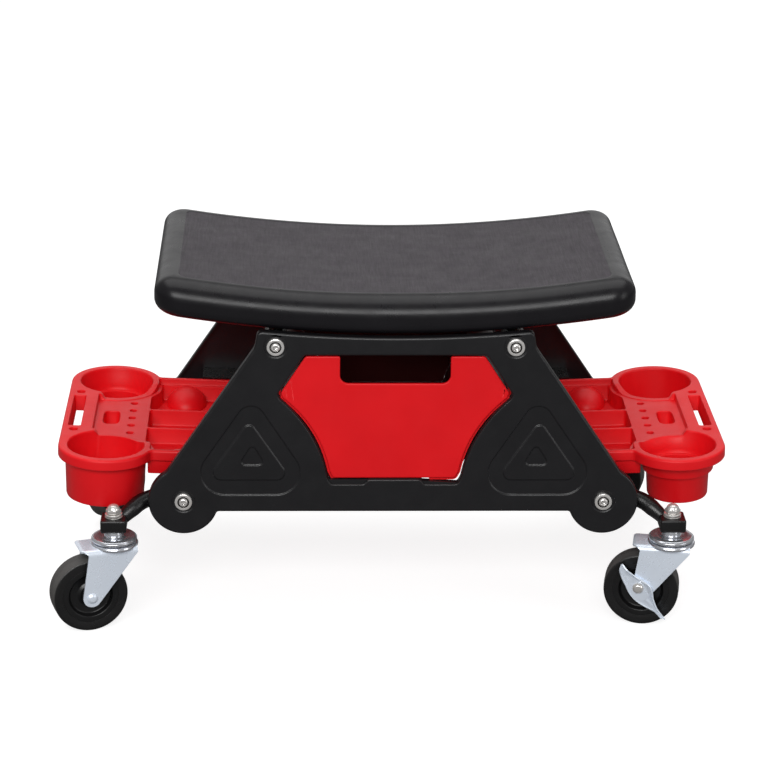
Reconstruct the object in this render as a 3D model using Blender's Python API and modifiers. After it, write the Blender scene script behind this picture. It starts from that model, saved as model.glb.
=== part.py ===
"""Rolling mechanic's creeper seat: a saddle seat on two side panels, with a drawer, two sliding
tool trays and four swivel casters. Metres, +Z up, +X along the seat, -Y towards the drawer's face."""

import math

import bmesh
import bpy
from mathutils import Matrix, Vector

# Seat
SEAT_HALF_LENGTH = 0.237
SEAT_HALF_DEPTH = 0.138
SEAT_UNDERSIDE = 0.3015
SEAT_CORNER = 0.026
SEAT_EDGES = (  # step in from the outline, height above the underside
    (0.0110, 0.0),
    (0.0035, 0.0030),
    (0.0, 0.0105),
    (0.0, 0.0170),
    (0.0030, 0.0265),
    (0.0095, 0.0335),
    (0.0215, 0.0370),
)
SADDLE = 0.370
SADDLE_STRIPS = 10
BOARD_HALF_LENGTH = 0.208
BOARD_HALF_DEPTH = 0.108
BOARD_THICKNESS = 0.009

# Side panels
PANEL_FACE = 0.141
PANEL_SKIN = 0.003
FLANGE_DEPTH = 0.010
FLANGE_THICKNESS = 0.0026
PANEL_TOP = 0.3005
PANEL_BOTTOM = 0.117
PANEL_TOP_CORNER = 0.1355
SLOPE_TOP = (0.1385, 0.290)
SLOPE_RUN_PER_RISE = 0.675
LOBE_RADIUS = 0.035
LOWER_BOLT = (0.210, 0.128)
UPPER_BOLT = (0.118, 0.2915)
EMBOSS_DEPTH = 0.0011
WINDOW_TOP = (0.090, 0.283)
WINDOW_POINT = (0.1165, 0.241)
WINDOW_FOOT = (0.0635, 0.1464)
WINDOW_BOW = 0.0083
LIP_HALF_WIDTH = 0.026
LIP_TOP = 0.1513

# Ties, bolts and seat straps
TIE_RADIUS = 0.011
TIE_PLUG = 0.012
TIE_HOLLOW = 0.009
BOLT_RADIUS = 0.004
BOLT_HOLE = 0.0044
BOLT_LENGTH = 0.024
STRAP_HALF_LENGTH = 0.060

# Drawer
DRAWER_GAP = 0.0026
DRAWER_WALL = 0.0025
DRAWER_BIN_TOP = 0.243
DRAWER_FRONT = 0.1375
NOTCH_HALF_WIDTH = 0.0545
NOTCH_BOTTOM = 0.252
BIN_STEP_IN = 0.0004

# Tool trays, modelled for the +X side and level, then tilted
TRAY_TILT = math.radians(2.0)
TRAY_OUTER = 0.337
TRAY_INNER = 0.082
TRAY_RIM = 0.1735
TRAY_FASCIA = 0.011
TRAY_PLATE_DROP = 0.007
TRAY_HALF_WIDTH = 0.109
TRAY_WALL = 0.0022
TRAY_BODY_DEPTH = 0.0265
CUP_CENTRE = (0.289, 0.094)
CUP_HOLLOW_RADIUS = 0.0385
CUP_DEPTH = 0.0515
STEP_BAND_RADIUS = 0.0362
STEP_BODY_RADIUS = 0.0318
STEP_DROP = 0.023
DIVIDER_Y = 0.0265
PLATE_INNER = 0.2525
BAR_INNER = 0.3055
SLOT_X = 0.3245
SLOT_SIZE = (0.0128, 0.088)
END_HOLE_Y = 0.055
END_HOLE_RADIUS = 0.0045
TOOL_HOLE_X = 0.2675
TOOL_HOLE_PITCH = 0.0215
TOOL_HOLE_RADIUS = 0.004
POCKET_X = 0.289
POCKET_SIZE = (0.017, 0.037)
POCKET_DEPTH = 0.017
HUMP_X = 0.212
HUMP_RADIUS = 0.017
RAIL_SPAN = (0.084, 0.198)
RAIL_WALL = 0.0016

# Casters: pieces are modelled with the swivel axis on Z and the wheel behind it, towards -X
STEM_X = 0.279
STEM_Y = 0.150
TRAIL = 0.0275
TYRE_RADIUS = 0.0381
TYRE_STEPS = 32
WHEEL_CENTRE = TYRE_RADIUS * math.cos(math.pi / TYRE_STEPS)
TYRE_HALF_WIDTH = 0.012
TYRE_BORE = 0.0283
FORK_GAP = 0.0135
FORK_WALL = 0.0025
FORK_TOP = 0.0865
BRACKET_BOTTOM = 0.0985
BRACKET_TOP = 0.114
STEM_RADIUS = 0.0046
ARM_RADIUS = 0.0083
CASTERS = (
    ("front_left", -1, -1, 17.0, False),
    ("front_right", 1, -1, -10.0, True),
    ("rear_left", -1, 1, 55.0, True),
    ("rear_right", 1, 1, -17.0, False),
)

GAP = 0.0003
ARC_STEP = math.radians(32)
MERGE = 0.00002

FINISHES = {
    "foam": ((0.045, 0.042, 0.044), 0.55, 0.0),
    "board": ((0.10, 0.08, 0.06), 0.8, 0.0),
    "panel_black": ((0.016, 0.016, 0.018), 0.42, 0.0),
    "frame_black": ((0.018, 0.018, 0.019), 0.35, 0.6),
    "red_plastic": ((0.60, 0.015, 0.025), 0.34, 0.0),
    "zinc": ((0.72, 0.74, 0.77), 0.28, 1.0),
    "bolt_zinc": ((0.70, 0.69, 0.66), 0.30, 1.0),
    "wheel_black": ((0.014, 0.014, 0.015), 0.50, 0.0),
    "tyre_rubber": ((0.030, 0.029, 0.029), 0.70, 0.0),
}


def clear_scene():
    for old in list(bpy.data.objects):
        bpy.data.objects.remove(old, do_unlink=True)


def new_collection(name):
    collection = bpy.data.collections.new(name)
    bpy.context.scene.collection.children.link(collection)
    return collection


def make_materials():
    made = {}
    for name, (colour, roughness, metallic) in FINISHES.items():
        made[name] = bpy.data.materials.new(name)
        made[name].use_nodes = True
        shader = made[name].node_tree.nodes["Principled BSDF"]
        shader.inputs["Base Color"].default_value = (*colour, 1.0)
        shader.inputs["Roughness"].default_value = roughness
        shader.inputs["Metallic"].default_value = metallic
    return made


def add_object(name, mesh, collection, finish=None):
    made = bpy.data.objects.new(name, mesh)
    collection.objects.link(made)
    if finish:
        mesh.materials.clear()
        mesh.materials.append(MATERIALS[finish])
    return made


def add_cutter(name, mesh):
    cutter = add_object(name, mesh, CUTTERS)
    cutter.hide_render = True
    cutter.display_type = "WIRE"
    return cutter


def boolean(target, tool, operation):
    modifier = target.modifiers.new(tool.name, "BOOLEAN")
    modifier.operation = operation
    modifier.solver = "EXACT"
    modifier.object = tool


def baked_mesh(source):
    """The source object's mesh with its modifiers applied, in its own frame."""
    graph = bpy.context.evaluated_depsgraph_get()
    return bpy.data.meshes.new_from_object(source.evaluated_get(graph))


def bake(source):
    """Replaces an object's mesh and modifiers by the finished mesh, to be shared by copies."""
    mesh = baked_mesh(source)
    source.modifiers.clear()
    source.data = mesh
    return mesh


def weld(mesh):
    work = bmesh.new()
    work.from_mesh(mesh)
    bmesh.ops.remove_doubles(work, verts=work.verts, dist=MERGE)
    bmesh.ops.recalc_face_normals(work, faces=work.faces)
    work.to_mesh(mesh)
    work.free()
    return mesh


def shade_round(mesh):
    mesh.shade_smooth()
    mesh.set_sharp_from_angle(angle=math.radians(35))


# Outlines: lists of points in a plane


def arc(centre, radius, start, end, step=ARC_STEP):
    """Points on a circle from one angle to another, in degrees, ends included."""
    turn = math.radians(end - start)
    count = max(2, math.ceil(abs(turn) / step))
    angles = [math.radians(start) + turn * i / count for i in range(count + 1)]
    return [(centre[0] + radius * math.cos(a), centre[1] + radius * math.sin(a)) for a in angles]


def bowed(first, last, bow):
    """Points of the arc from first to last that stands off its chord by bow, to the left."""
    a, b = Vector(first), Vector(last)
    chord = (b - a).length
    radius = (chord * chord / 4 + bow * bow) / (2 * bow)
    side = (b - a).normalized().orthogonal()
    centre = (a + b) / 2 + side * (bow - radius)
    start = math.degrees(math.atan2(a.y - centre.y, a.x - centre.x))
    sweep = math.degrees(2 * math.asin(chord / 2 / radius))
    return arc(centre, radius, start, start - sweep, math.radians(10))


def rounded(corners, step=ARC_STEP):
    """Closed outline through (x, y, radius) corners, each turned by an arc of its radius."""
    points = []
    for index, (x, y, radius) in enumerate(corners):
        corner = Vector((x, y))
        if radius == 0:
            points.append((x, y))
            continue
        before = (Vector(corners[index - 1][:2]) - corner).normalized()
        after = (Vector(corners[(index + 1) % len(corners)][:2]) - corner).normalized()
        half = before.angle(after) / 2
        centre = corner + (before + after).normalized() * (radius / math.sin(half))
        start = corner + before * (radius / math.tan(half)) - centre
        end = corner + after * (radius / math.tan(half)) - centre
        first = math.degrees(math.atan2(start.y, start.x))
        turn = math.degrees(start.angle_signed(end))
        points += arc(centre, radius, first, first - turn, step)
    return points


def rounded_box(low, high, radius):
    corners = ((low[0], low[1]), (high[0], low[1]), (high[0], high[1]), (low[0], high[1]))
    return rounded([(x, y, radius) for x, y in corners])


def inset(points, distance):
    """A closed outline that runs anticlockwise, moved inwards by a distance."""
    moved = []
    for index, point in enumerate(points):
        here = Vector(point)
        into = (here - Vector(points[index - 1])).normalized()
        out = (Vector(points[(index + 1) % len(points)]) - here).normalized()
        left = Vector((-into.y, into.x))
        right = Vector((-out.y, out.x))
        moved.append(tuple(here + (left + right) * (distance / (1 + left.dot(right)))))
    return moved


def mirrored_x(points):
    return [(-x, y) for x, y in reversed(points)]


# Solids

PLANES = {
    "X": Matrix(((0, 0, 1, 0), (1, 0, 0, 0), (0, 1, 0, 0), (0, 0, 0, 1))),
    "Y": Matrix.Rotation(math.radians(90), 4, "X"),
    "Z": Matrix.Identity(4),
}


def plate_mesh(name, outlines, axis, low, high):
    """A flat plate: the first outline less the others, from low to high along an axis."""
    curve = bpy.data.curves.new(name, "CURVE")
    curve.dimensions = "2D"
    curve.fill_mode = "BOTH"
    curve.extrude = (high - low) / 2
    for outline in outlines:
        spline = curve.splines.new("POLY")
        spline.points.add(len(outline) - 1)
        spline.use_cyclic_u = True
        for point, (x, y) in zip(spline.points, outline):
            point.co = (x, y, 0.0, 1.0)
    drawn = bpy.data.objects.new(name, curve)
    bpy.context.scene.collection.objects.link(drawn)
    middle = Vector([(low + high) / 2 if axis == letter else 0.0 for letter in "XYZ"])
    drawn.matrix_world = Matrix.Translation(middle) @ PLANES[axis]
    bpy.context.view_layer.update()
    mesh = baked_mesh(drawn)
    mesh.transform(drawn.matrix_world)
    bpy.data.objects.remove(drawn)
    bpy.data.curves.remove(curve)
    mesh.name = name
    return weld(mesh)


def joined(name, meshes):
    """One mesh that holds several separate bodies, for use as a single cutter."""
    work = bmesh.new()
    for mesh in meshes:
        work.from_mesh(mesh)
    made = bpy.data.meshes.new(name)
    work.to_mesh(made)
    work.free()
    return made


def turned_mesh(name, profile, steps, closed=False):
    """A turned shape about Z: (radius, height) points down the outer side, then up the bore."""
    mesh = bpy.data.meshes.new(name)
    edges = [(i, i + 1) for i in range(len(profile) - 1)]
    if closed:
        edges.append((len(profile) - 1, 0))
    mesh.from_pydata([(r, 0.0, z) for r, z in profile], edges, [])
    lathe = bpy.data.objects.new(name, mesh)
    bpy.context.scene.collection.objects.link(lathe)
    screw = lathe.modifiers.new("turn", "SCREW")
    screw.steps = steps
    screw.render_steps = steps
    screw.use_merge_vertices = True
    screw.merge_threshold = MERGE
    screw.use_smooth_shade = False
    turned = baked_mesh(lathe)
    bpy.data.objects.remove(lathe)
    bpy.data.meshes.remove(mesh)
    turned.name = name
    weld(turned)
    shade_round(turned)
    return turned


def cylinder_mesh(name, centre, radius, low, high, steps=16, axis="Z"):
    """A round bar along an axis; centre gives its other two coordinates in X, Y, Z order."""
    work = bmesh.new()
    bmesh.ops.create_cone(
        work, cap_ends=True, segments=steps, radius1=radius, radius2=radius, depth=high - low
    )
    middle = (low + high) / 2
    place = {
        "X": (middle, centre[0], centre[1]),
        "Y": (centre[0], middle, centre[1]),
        "Z": (centre[0], centre[1], middle),
    }[axis]
    turn = {
        "X": Matrix.Rotation(math.radians(90), 4, "Y"),
        "Y": Matrix.Rotation(math.radians(-90), 4, "X"),
        "Z": Matrix.Identity(4),
    }[axis]
    bmesh.ops.transform(work, matrix=Matrix.Translation(place) @ turn, verts=work.verts)
    mesh = bpy.data.meshes.new(name)
    work.to_mesh(mesh)
    work.free()
    return mesh


def tube_mesh(name, route, radius):
    """A round bar along a smooth route, with filled ends."""
    curve = bpy.data.curves.new(name, "CURVE")
    curve.dimensions = "3D"
    curve.bevel_depth = radius
    curve.bevel_resolution = 1
    curve.use_fill_caps = True
    spline = curve.splines.new("POLY")
    spline.points.add(len(route) - 1)
    for point, place in zip(spline.points, route):
        point.co = (*place, 1.0)
    drawn = bpy.data.objects.new(name, curve)
    bpy.context.scene.collection.objects.link(drawn)
    mesh = baked_mesh(drawn)
    bpy.data.objects.remove(drawn)
    bpy.data.curves.remove(curve)
    return weld(mesh)


def saddle_height(x):
    return SADDLE * x * x


def bend_to_saddle(mesh, reach):
    """Cuts a flat slab into strips across X and lifts each point by the saddle's height."""
    work = bmesh.new()
    work.from_mesh(mesh)
    for index in range(1, SADDLE_STRIPS):
        x = -reach + 2 * reach * index / SADDLE_STRIPS
        faces = work.verts[:] + work.edges[:] + work.faces[:]
        bmesh.ops.bisect_plane(work, geom=faces, plane_co=(x, 0, 0), plane_no=(1, 0, 0))
    for vertex in work.verts:
        vertex.co.z += saddle_height(vertex.co.x)
    work.to_mesh(mesh)
    work.free()
    return mesh


# Seat


def soft_slab_mesh(name, half_length, half_depth, corner, rings):
    """A slab with rounded corners whose edge is drawn in by a given step at each height."""
    work = bmesh.new()
    loops = []
    for step_in, height in rings:
        far = (half_length - step_in, half_depth - step_in)
        outline = rounded_box((-far[0], -far[1]), far, corner - step_in)
        loops.append([work.verts.new((x, y, height)) for x, y in outline])
    for lower, upper in zip(loops, loops[1:]):
        for index in range(len(lower)):
            work.faces.new((lower[index - 1], lower[index], upper[index], upper[index - 1]))
    work.faces.new(reversed(loops[0]))
    work.faces.new(loops[-1])
    mesh = bpy.data.meshes.new(name)
    work.to_mesh(mesh)
    work.free()
    return mesh


def seat_slab(name, half_length, half_depth, corner, low, high):
    """A slab with rounded corners that follows the saddle between two heights at its middle."""
    outline = rounded_box((-half_length, -half_depth), (half_length, half_depth), corner)
    return bend_to_saddle(plate_mesh(name, [outline], "Z", low, high), half_length)


def make_seat():
    rings = [(step_in, SEAT_UNDERSIDE + height) for step_in, height in SEAT_EDGES]
    mesh = soft_slab_mesh("seat_cushion", SEAT_HALF_LENGTH, SEAT_HALF_DEPTH, SEAT_CORNER, rings)
    mesh = bend_to_saddle(mesh, SEAT_HALF_LENGTH)
    cushion = add_object("seat_cushion", mesh, PARTS, "foam")
    recess_top = SEAT_UNDERSIDE + BOARD_THICKNESS + GAP
    recess = seat_slab(
        "board_recess",
        BOARD_HALF_LENGTH + GAP,
        BOARD_HALF_DEPTH + GAP,
        SEAT_CORNER,
        SEAT_UNDERSIDE - 0.02,
        recess_top,
    )
    boolean(cushion, add_cutter("board_recess", recess), "DIFFERENCE")
    board = seat_slab(
        "seat_board",
        BOARD_HALF_LENGTH,
        BOARD_HALF_DEPTH,
        SEAT_CORNER,
        SEAT_UNDERSIDE,
        SEAT_UNDERSIDE + BOARD_THICKNESS,
    )
    add_object("seat_board", board, PARTS, "board")


def make_seat_straps():
    """Steel straps that hang the seat board from the two upper ties, set square to the saddle."""
    slope = math.atan(2 * SADDLE * UPPER_BOLT[0])
    ear_top = (SEAT_UNDERSIDE + saddle_height(UPPER_BOLT[0]) - UPPER_BOLT[1]) * math.cos(slope)
    ear_top -= 2 * GAP
    inner, outer = TIE_RADIUS + 2 * GAP, TIE_RADIUS + 0.0030
    ear = 0.030
    low = ear_top - 0.0025
    start = math.degrees(math.asin(low / outer)) if low < outer else 45.0
    outline = [(-ear, ear_top), (-ear, low)]
    outline += arc((0, 0), outer, 180 - start, 360 + start)
    outline += [(ear, low), (ear, ear_top), (inner + 0.0005, ear_top)]
    outline += arc((0, 0), inner, 360 + 20, 180 - 20, math.radians(18))
    outline += [(-inner - 0.0005, ear_top)]
    for name, side in (("left", -1), ("right", 1)):
        mesh = plate_mesh(
            f"seat_strap_{name}", [outline], "Y", -STRAP_HALF_LENGTH, STRAP_HALF_LENGTH
        )
        strap = add_object(f"seat_strap_{name}", mesh, PARTS, "frame_black")
        strap.location = (side * UPPER_BOLT[0], 0, UPPER_BOLT[1])
        strap.rotation_euler = (0, -side * slope, 0)


# Side panels, ties and bolts


def lobe_half():
    """Right half of the panel's outline below its top edge, anticlockwise from the bottom."""
    centre = Vector(LOWER_BOLT)
    up = Vector((-SLOPE_RUN_PER_RISE, 1.0)).normalized()
    out = Vector((up.y, -up.x))
    off = (Vector(SLOPE_TOP) - centre).dot(out)
    meet = centre + out * off + up * math.sqrt(LOBE_RADIUS**2 - off**2)
    drop = centre.y - PANEL_BOTTOM
    start = math.degrees(math.asin(-drop / LOBE_RADIUS))
    end = math.degrees(math.atan2(meet.y - centre.y, meet.x - centre.x))
    lobe = arc(centre, LOBE_RADIUS, -180 - start, end, math.radians(20))
    corner = (PANEL_TOP_CORNER, PANEL_TOP + saddle_height(PANEL_TOP_CORNER))
    neck = rounded([(*meet, 0), (*SLOPE_TOP, 0.014), (*corner, 0.005), (0, corner[1] - 0.012, 0)])
    return lobe + neck[1:-1]


def panel_outline():
    half = lobe_half()
    xs = [PANEL_TOP_CORNER * f for f in (0.85, 0.62, 0.38, 0.14)]
    top = [(x, PANEL_TOP + saddle_height(x)) for x in xs]
    return half + top + mirrored_x(half + top)


def window_half(foot_height, gap=0.0):
    """Right side of the window, anticlockwise from its foot, brought in by a gap."""
    foot = (WINDOW_FOOT[0] - gap, foot_height)
    start = (WINDOW_FOOT[0] + 0.0035 - gap, foot_height + 0.007)
    point = (WINDOW_POINT[0] - gap * 1.3, WINDOW_POINT[1])
    side = bowed(start, (point[0] - 0.002, point[1] - 0.004), WINDOW_BOW)
    top = (WINDOW_TOP[0] - gap * 0.6, WINDOW_TOP[1] - gap)
    corner = rounded([(0, foot[1], 0), (*foot, 0.004), (*start, 0)])[1:-1]
    return corner + side + [(point[0], point[1] + 0.002), top]


def window_outline():
    half = window_half(WINDOW_FOOT[1])
    lip = [(LIP_HALF_WIDTH, LIP_TOP), (LIP_HALF_WIDTH + 0.004, WINDOW_FOOT[1])]
    return lip + half + mirrored_x(half) + mirrored_x(lip)


TRIANGLES = (
    ((0.0735, 0.135, 0.024), (0.2135, 0.135, 0.024), (0.142, 0.241, 0.014)),
    ((0.102, 0.151, 0.008), (0.187, 0.151, 0.008), (0.144, 0.214, 0.006)),
    ((0.128, 0.167, 0.004), (0.155, 0.167, 0.004), (0.141, 0.190, 0.004)),
)


def emboss_mesh(side):
    """Cutter for the nested triangles pressed into both ends of a panel's face."""
    outer, middle, inner = [rounded(triangle, math.radians(50)) for triangle in TRIANGLES]
    faces = sorted((side * (PANEL_FACE - EMBOSS_DEPTH), side * (PANEL_FACE + 0.002)))
    meshes = []
    for flip in (False, True):
        shapes = [mirrored_x(s) if flip else s for s in (outer, middle, inner)]
        meshes.append(plate_mesh("emboss", shapes[:2], "Y", *faces))
        meshes.append(plate_mesh("emboss", shapes[2:], "Y", *faces))
    return joined("emboss", meshes)


def bolt_places():
    for level, (x, z) in (("lower", LOWER_BOLT), ("upper", UPPER_BOLT)):
        for end, sign in (("left", -1), ("right", 1)):
            yield level, end, sign * x, z


def make_panel(name, side):
    outline = panel_outline()
    skin = sorted((side * PANEL_FACE, side * (PANEL_FACE - PANEL_SKIN)))
    edge = sorted((side * (PANEL_FACE - 0.001), side * (PANEL_FACE - FLANGE_DEPTH)))
    panel = add_object(
        name, plate_mesh(name, [outline, window_outline()], "Y", *skin), PARTS, "panel_black"
    )
    ring = [inset(outline, 0.0004), inset(outline, FLANGE_THICKNESS)]
    flange = add_cutter(f"{name}_flange", plate_mesh("flange", ring, "Y", *edge))
    boolean(panel, flange, "UNION")
    boolean(panel, add_cutter(f"{name}_emboss", emboss_mesh(side)), "DIFFERENCE")
    reach = sorted((side * (PANEL_FACE - 0.02), side * (PANEL_FACE + 0.02)))
    bores = [cylinder_mesh("bore", (x, z), BOLT_HOLE, *reach, 10, "Y") for *_, x, z in bolt_places()]
    boolean(panel, add_cutter(f"{name}_bores", joined("bores", bores)), "DIFFERENCE")


def make_ties():
    half = PANEL_FACE - PANEL_SKIN - GAP
    profile = [
        (TIE_RADIUS, half),
        (TIE_RADIUS, -half),
        (BOLT_HOLE, -half),
        (BOLT_HOLE, TIE_PLUG - half),
        (TIE_HOLLOW, TIE_PLUG - half),
        (TIE_HOLLOW, half - TIE_PLUG),
        (BOLT_HOLE, half - TIE_PLUG),
        (BOLT_HOLE, half),
    ]
    mesh = turned_mesh("tie", profile, 14, closed=True)
    for level, end, x, z in bolt_places():
        tie = add_object(f"{level}_tie_{end}", mesh, PARTS, "frame_black")
        tie.location = (x, 0, z)
        tie.rotation_euler = (math.radians(90), 0, 0)


def make_tie_bolts():
    """Button-head screws with their washers, which clamp the panels to the ties."""
    seat = GAP
    profile = [
        (0, seat + 0.0048),
        (0.0030, seat + 0.0047),
        (0.0052, seat + 0.0034),
        (0.0062, seat + 0.0016),
        (0.0087, seat + 0.0016),
        (0.0087, seat),
        (BOLT_RADIUS, seat),
        (BOLT_RADIUS, -BOLT_LENGTH),
        (0, -BOLT_LENGTH),
    ]
    mesh = turned_mesh("tie_bolt", profile, 14)
    for level, end, x, z in bolt_places():
        for face, side in (("front", -1), ("rear", 1)):
            bolt = add_object(f"{face}_{level}_bolt_{end}", mesh, PARTS, "bolt_zinc")
            bolt.location = (x, side * PANEL_FACE, z)
            bolt.rotation_euler = (math.radians(-90 * side), 0, 0)


# Drawer


def drawer_outline(top):
    """Cross-section of the drawer up to a height, a little smaller than the window."""
    half = [(x, z) for x, z in window_half(LIP_TOP + 2 * GAP, DRAWER_GAP) if z <= top]
    if top < WINDOW_POINT[1] + 0.01:
        half = [p for p in half if p[1] < top - 0.001] + [(half[-1][0], top)]
    return half + mirrored_x(half)


def make_drawer():
    front, back = -DRAWER_FRONT, DRAWER_FRONT
    bin_outline = inset(drawer_outline(DRAWER_BIN_TOP), BIN_STEP_IN)
    drawer = add_object(
        "drawer",
        plate_mesh("drawer", [bin_outline], "Y", front + 0.0005, back),
        PARTS,
        "red_plastic",
    )
    face = plate_mesh("drawer_face", [drawer_outline(WINDOW_TOP[1])], "Y", front, front + 0.003)
    boolean(drawer, add_cutter("drawer_face", face), "UNION")
    inner = inset(bin_outline, DRAWER_WALL)
    top = max(z for _, z in inner)
    inner = [(x, z + 0.05 if z > top - 0.0001 else z) for x, z in inner]
    hollow = plate_mesh("drawer_hollow", [inner], "Y", front + 0.003, back - DRAWER_WALL)
    boolean(drawer, add_cutter("drawer_hollow", hollow), "DIFFERENCE")
    low, high = (-NOTCH_HALF_WIDTH, NOTCH_BOTTOM), (NOTCH_HALF_WIDTH, WINDOW_TOP[1] + 0.03)
    notch = plate_mesh("drawer_notch", [rounded_box(low, high, 0.008)], "Y", -0.16, -0.12)
    boolean(drawer, add_cutter("drawer_notch", notch), "DIFFERENCE")


# Tool trays


def tray_outline():
    """Plan of the tray's rim: two cup lips, a straight outer edge and the part under the seat."""
    x, y = CUP_CENTRE
    lip = TRAY_OUTER - x
    half = arc((x, y), lip, 0, 150, math.radians(15))
    half = [p for p in half if p[0] > x - 0.02 or p[1] > TRAY_HALF_WIDTH]
    waist = math.sqrt(lip**2 - (TRAY_HALF_WIDTH - y) ** 2)
    half = [p for p in half if p[0] > x - waist]
    half += [(x - waist - 0.004, TRAY_HALF_WIDTH + 0.0008), (x - waist - 0.012, TRAY_HALF_WIDTH)]
    half += [(TRAY_INNER, TRAY_HALF_WIDTH)]
    return half + [(px, -py) for px, py in reversed(half)]


def turned_cup(name, centre, profile):
    mesh = turned_mesh(name, profile, 22)
    mesh.transform(Matrix.Translation((*centre, 0)))
    return mesh


def tray_solids(floor, lip):
    """The outer bodies that are joined under the rim slab, as a list of meshes."""
    x, y = CUP_CENTRE
    wall = CUP_HOLLOW_RADIUS + 0.0022
    bottom = TRAY_RIM - CUP_DEPTH - 0.002
    straight = [(0, lip), (wall, lip), (wall - 0.0015, bottom), (0, bottom)]
    band = TRAY_RIM - STEP_DROP - 0.002
    stepped = [
        (0, lip),
        (STEP_BAND_RADIUS + 0.004, lip),
        (STEP_BAND_RADIUS, lip - 0.008),
        (STEP_BAND_RADIUS, band),
        (STEP_BODY_RADIUS, band - 0.0015),
        (STEP_BODY_RADIUS - 0.0012, bottom),
        (0, bottom),
    ]
    inner = rounded_box(
        (TRAY_INNER + 0.002, -TRAY_HALF_WIDTH + 0.003),
        (PLATE_INNER + 0.002, TRAY_HALF_WIDTH - 0.003),
        0.006,
    )
    pocket = [v / 2 + TRAY_WALL for v in POCKET_SIZE]
    low, high = (POCKET_X - pocket[0], -pocket[1]), (POCKET_X + pocket[0], pocket[1])
    pocket_floor = TRAY_RIM - TRAY_PLATE_DROP - POCKET_DEPTH - TRAY_WALL
    return [
        turned_cup("straight_cup", (x, y), straight),
        turned_cup("stepped_cup", (x, -y), stepped),
        plate_mesh("tray_body", [inner], "Z", floor, lip),
        plate_mesh("pocket_body", [rounded_box(low, high, 0.004)], "Z", pocket_floor, lip),
    ]


def tray_hollows(floor, above):
    """Everything taken out of a tray from above: cups, compartments, holes, slot and pocket."""
    x, y = CUP_CENTRE
    radius = CUP_HOLLOW_RADIUS
    bottom = TRAY_RIM - CUP_DEPTH
    step = TRAY_RIM - STEP_DROP
    straight = [(0, above), (radius, above), (radius, TRAY_RIM - 0.002)]
    straight += [(radius - 0.0015, bottom), (0, bottom)]
    stepped = straight[:3] + [
        (STEP_BAND_RADIUS - 0.0018, TRAY_RIM - 0.012),
        (STEP_BAND_RADIUS - 0.0018, step),
        (STEP_BODY_RADIUS - 0.0022, step),
        (STEP_BODY_RADIUS - 0.0034, bottom),
        (0, bottom),
    ]
    cups = [
        turned_cup("straight_hollow", (x, y), straight),
        turned_cup("stepped_hollow", (x, -y), stepped),
    ]
    plate = TRAY_RIM - TRAY_PLATE_DROP
    edge = TRAY_HALF_WIDTH - 0.003 - TRAY_WALL
    lanes = ((-edge, -DIVIDER_Y - 0.001), (-DIVIDER_Y + 0.001, DIVIDER_Y - 0.001))
    lanes += ((DIVIDER_Y + 0.001, edge),)
    pits = []
    for low, high in lanes:
        outer = PLATE_INNER - (0.002 if low < 0 < high else 0.022)
        outline = rounded_box((TRAY_INNER + 0.002 + TRAY_WALL, low), (outer, high), 0.005)
        pits.append(plate_mesh("compartment", [outline], "Z", floor + TRAY_WALL, above))
    half_slot = [v / 2 for v in SLOT_SIZE]
    slot = rounded_box(
        (SLOT_X - half_slot[0], -half_slot[1]), (SLOT_X + half_slot[0], half_slot[1]), 0.002
    )
    half_pocket = [v / 2 for v in POCKET_SIZE]
    pocket = rounded_box(
        (POCKET_X - half_pocket[0], -half_pocket[1]),
        (POCKET_X + half_pocket[0], half_pocket[1]),
        0.003,
    )
    through = TRAY_RIM - 0.03
    holes = [plate_mesh("slot", [slot], "Z", through, above)]
    holes += [plate_mesh("pocket", [pocket], "Z", plate - POCKET_DEPTH, above)]
    for index in range(-2, 3):
        place = (TOOL_HOLE_X, index * TOOL_HOLE_PITCH)
        holes.append(cylinder_mesh("tool_hole", place, TOOL_HOLE_RADIUS, through, above, 8))
    for side in (-1, 1):
        place = (SLOT_X, side * END_HOLE_Y)
        holes.append(cylinder_mesh("end_hole", place, END_HOLE_RADIUS, through, above, 8))
    return cups, pits, holes


def plate_recess(above):
    """The lower shelf between the cups and over the compartments, cut down from the rim."""
    plate = TRAY_RIM - TRAY_PLATE_DROP
    half = TRAY_HALF_WIDTH - 0.003 - TRAY_WALL
    inner = TRAY_INNER + 0.002 + TRAY_WALL
    waist = CUP_CENTRE[1] - 0.036
    outline = rounded(
        [
            (inner, -half, 0.005),
            (PLATE_INNER - 0.012, -half, 0.010),
            (PLATE_INNER, -waist - 0.006, 0),
            (BAR_INNER, -waist, 0),
            (BAR_INNER, waist, 0),
            (PLATE_INNER, waist + 0.006, 0),
            (PLATE_INNER - 0.012, half, 0.010),
            (inner, half, 0.005),
        ]
    )
    return plate_mesh("plate_recess", [outline], "Z", plate, above)


def hump_mesh(side, radius, floor):
    """A round-backed arch over the lower tie, closed by a ball end, against a side wall."""
    reach = TRAY_HALF_WIDTH - 0.004
    work = bmesh.new()
    bmesh.ops.create_uvsphere(work, u_segments=12, v_segments=8, radius=radius)
    squash = Matrix.Diagonal((1.25, 1.6, 1.0, 1.0))
    place = Matrix.Translation((HUMP_X, side * (reach - 0.012), floor))
    bmesh.ops.transform(work, matrix=place @ squash, verts=work.verts)
    sides = (((0, 0, floor + 0.0004), (0, 0, -1)), ((0, side * reach, 0), (0, side, 0)))
    for place, facing in sides:
        geometry = work.verts[:] + work.edges[:] + work.faces[:]
        cut = bmesh.ops.bisect_plane(
            work, geom=geometry, plane_co=place, plane_no=facing, clear_outer=True
        )
        rim = [e for e in cut["geom_cut"] if isinstance(e, bmesh.types.BMEdge)]
        bmesh.ops.holes_fill(work, edges=rim)
    bmesh.ops.recalc_face_normals(work, faces=work.faces)
    mesh = bpy.data.meshes.new("hump")
    work.to_mesh(mesh)
    work.free()
    return mesh


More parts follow.
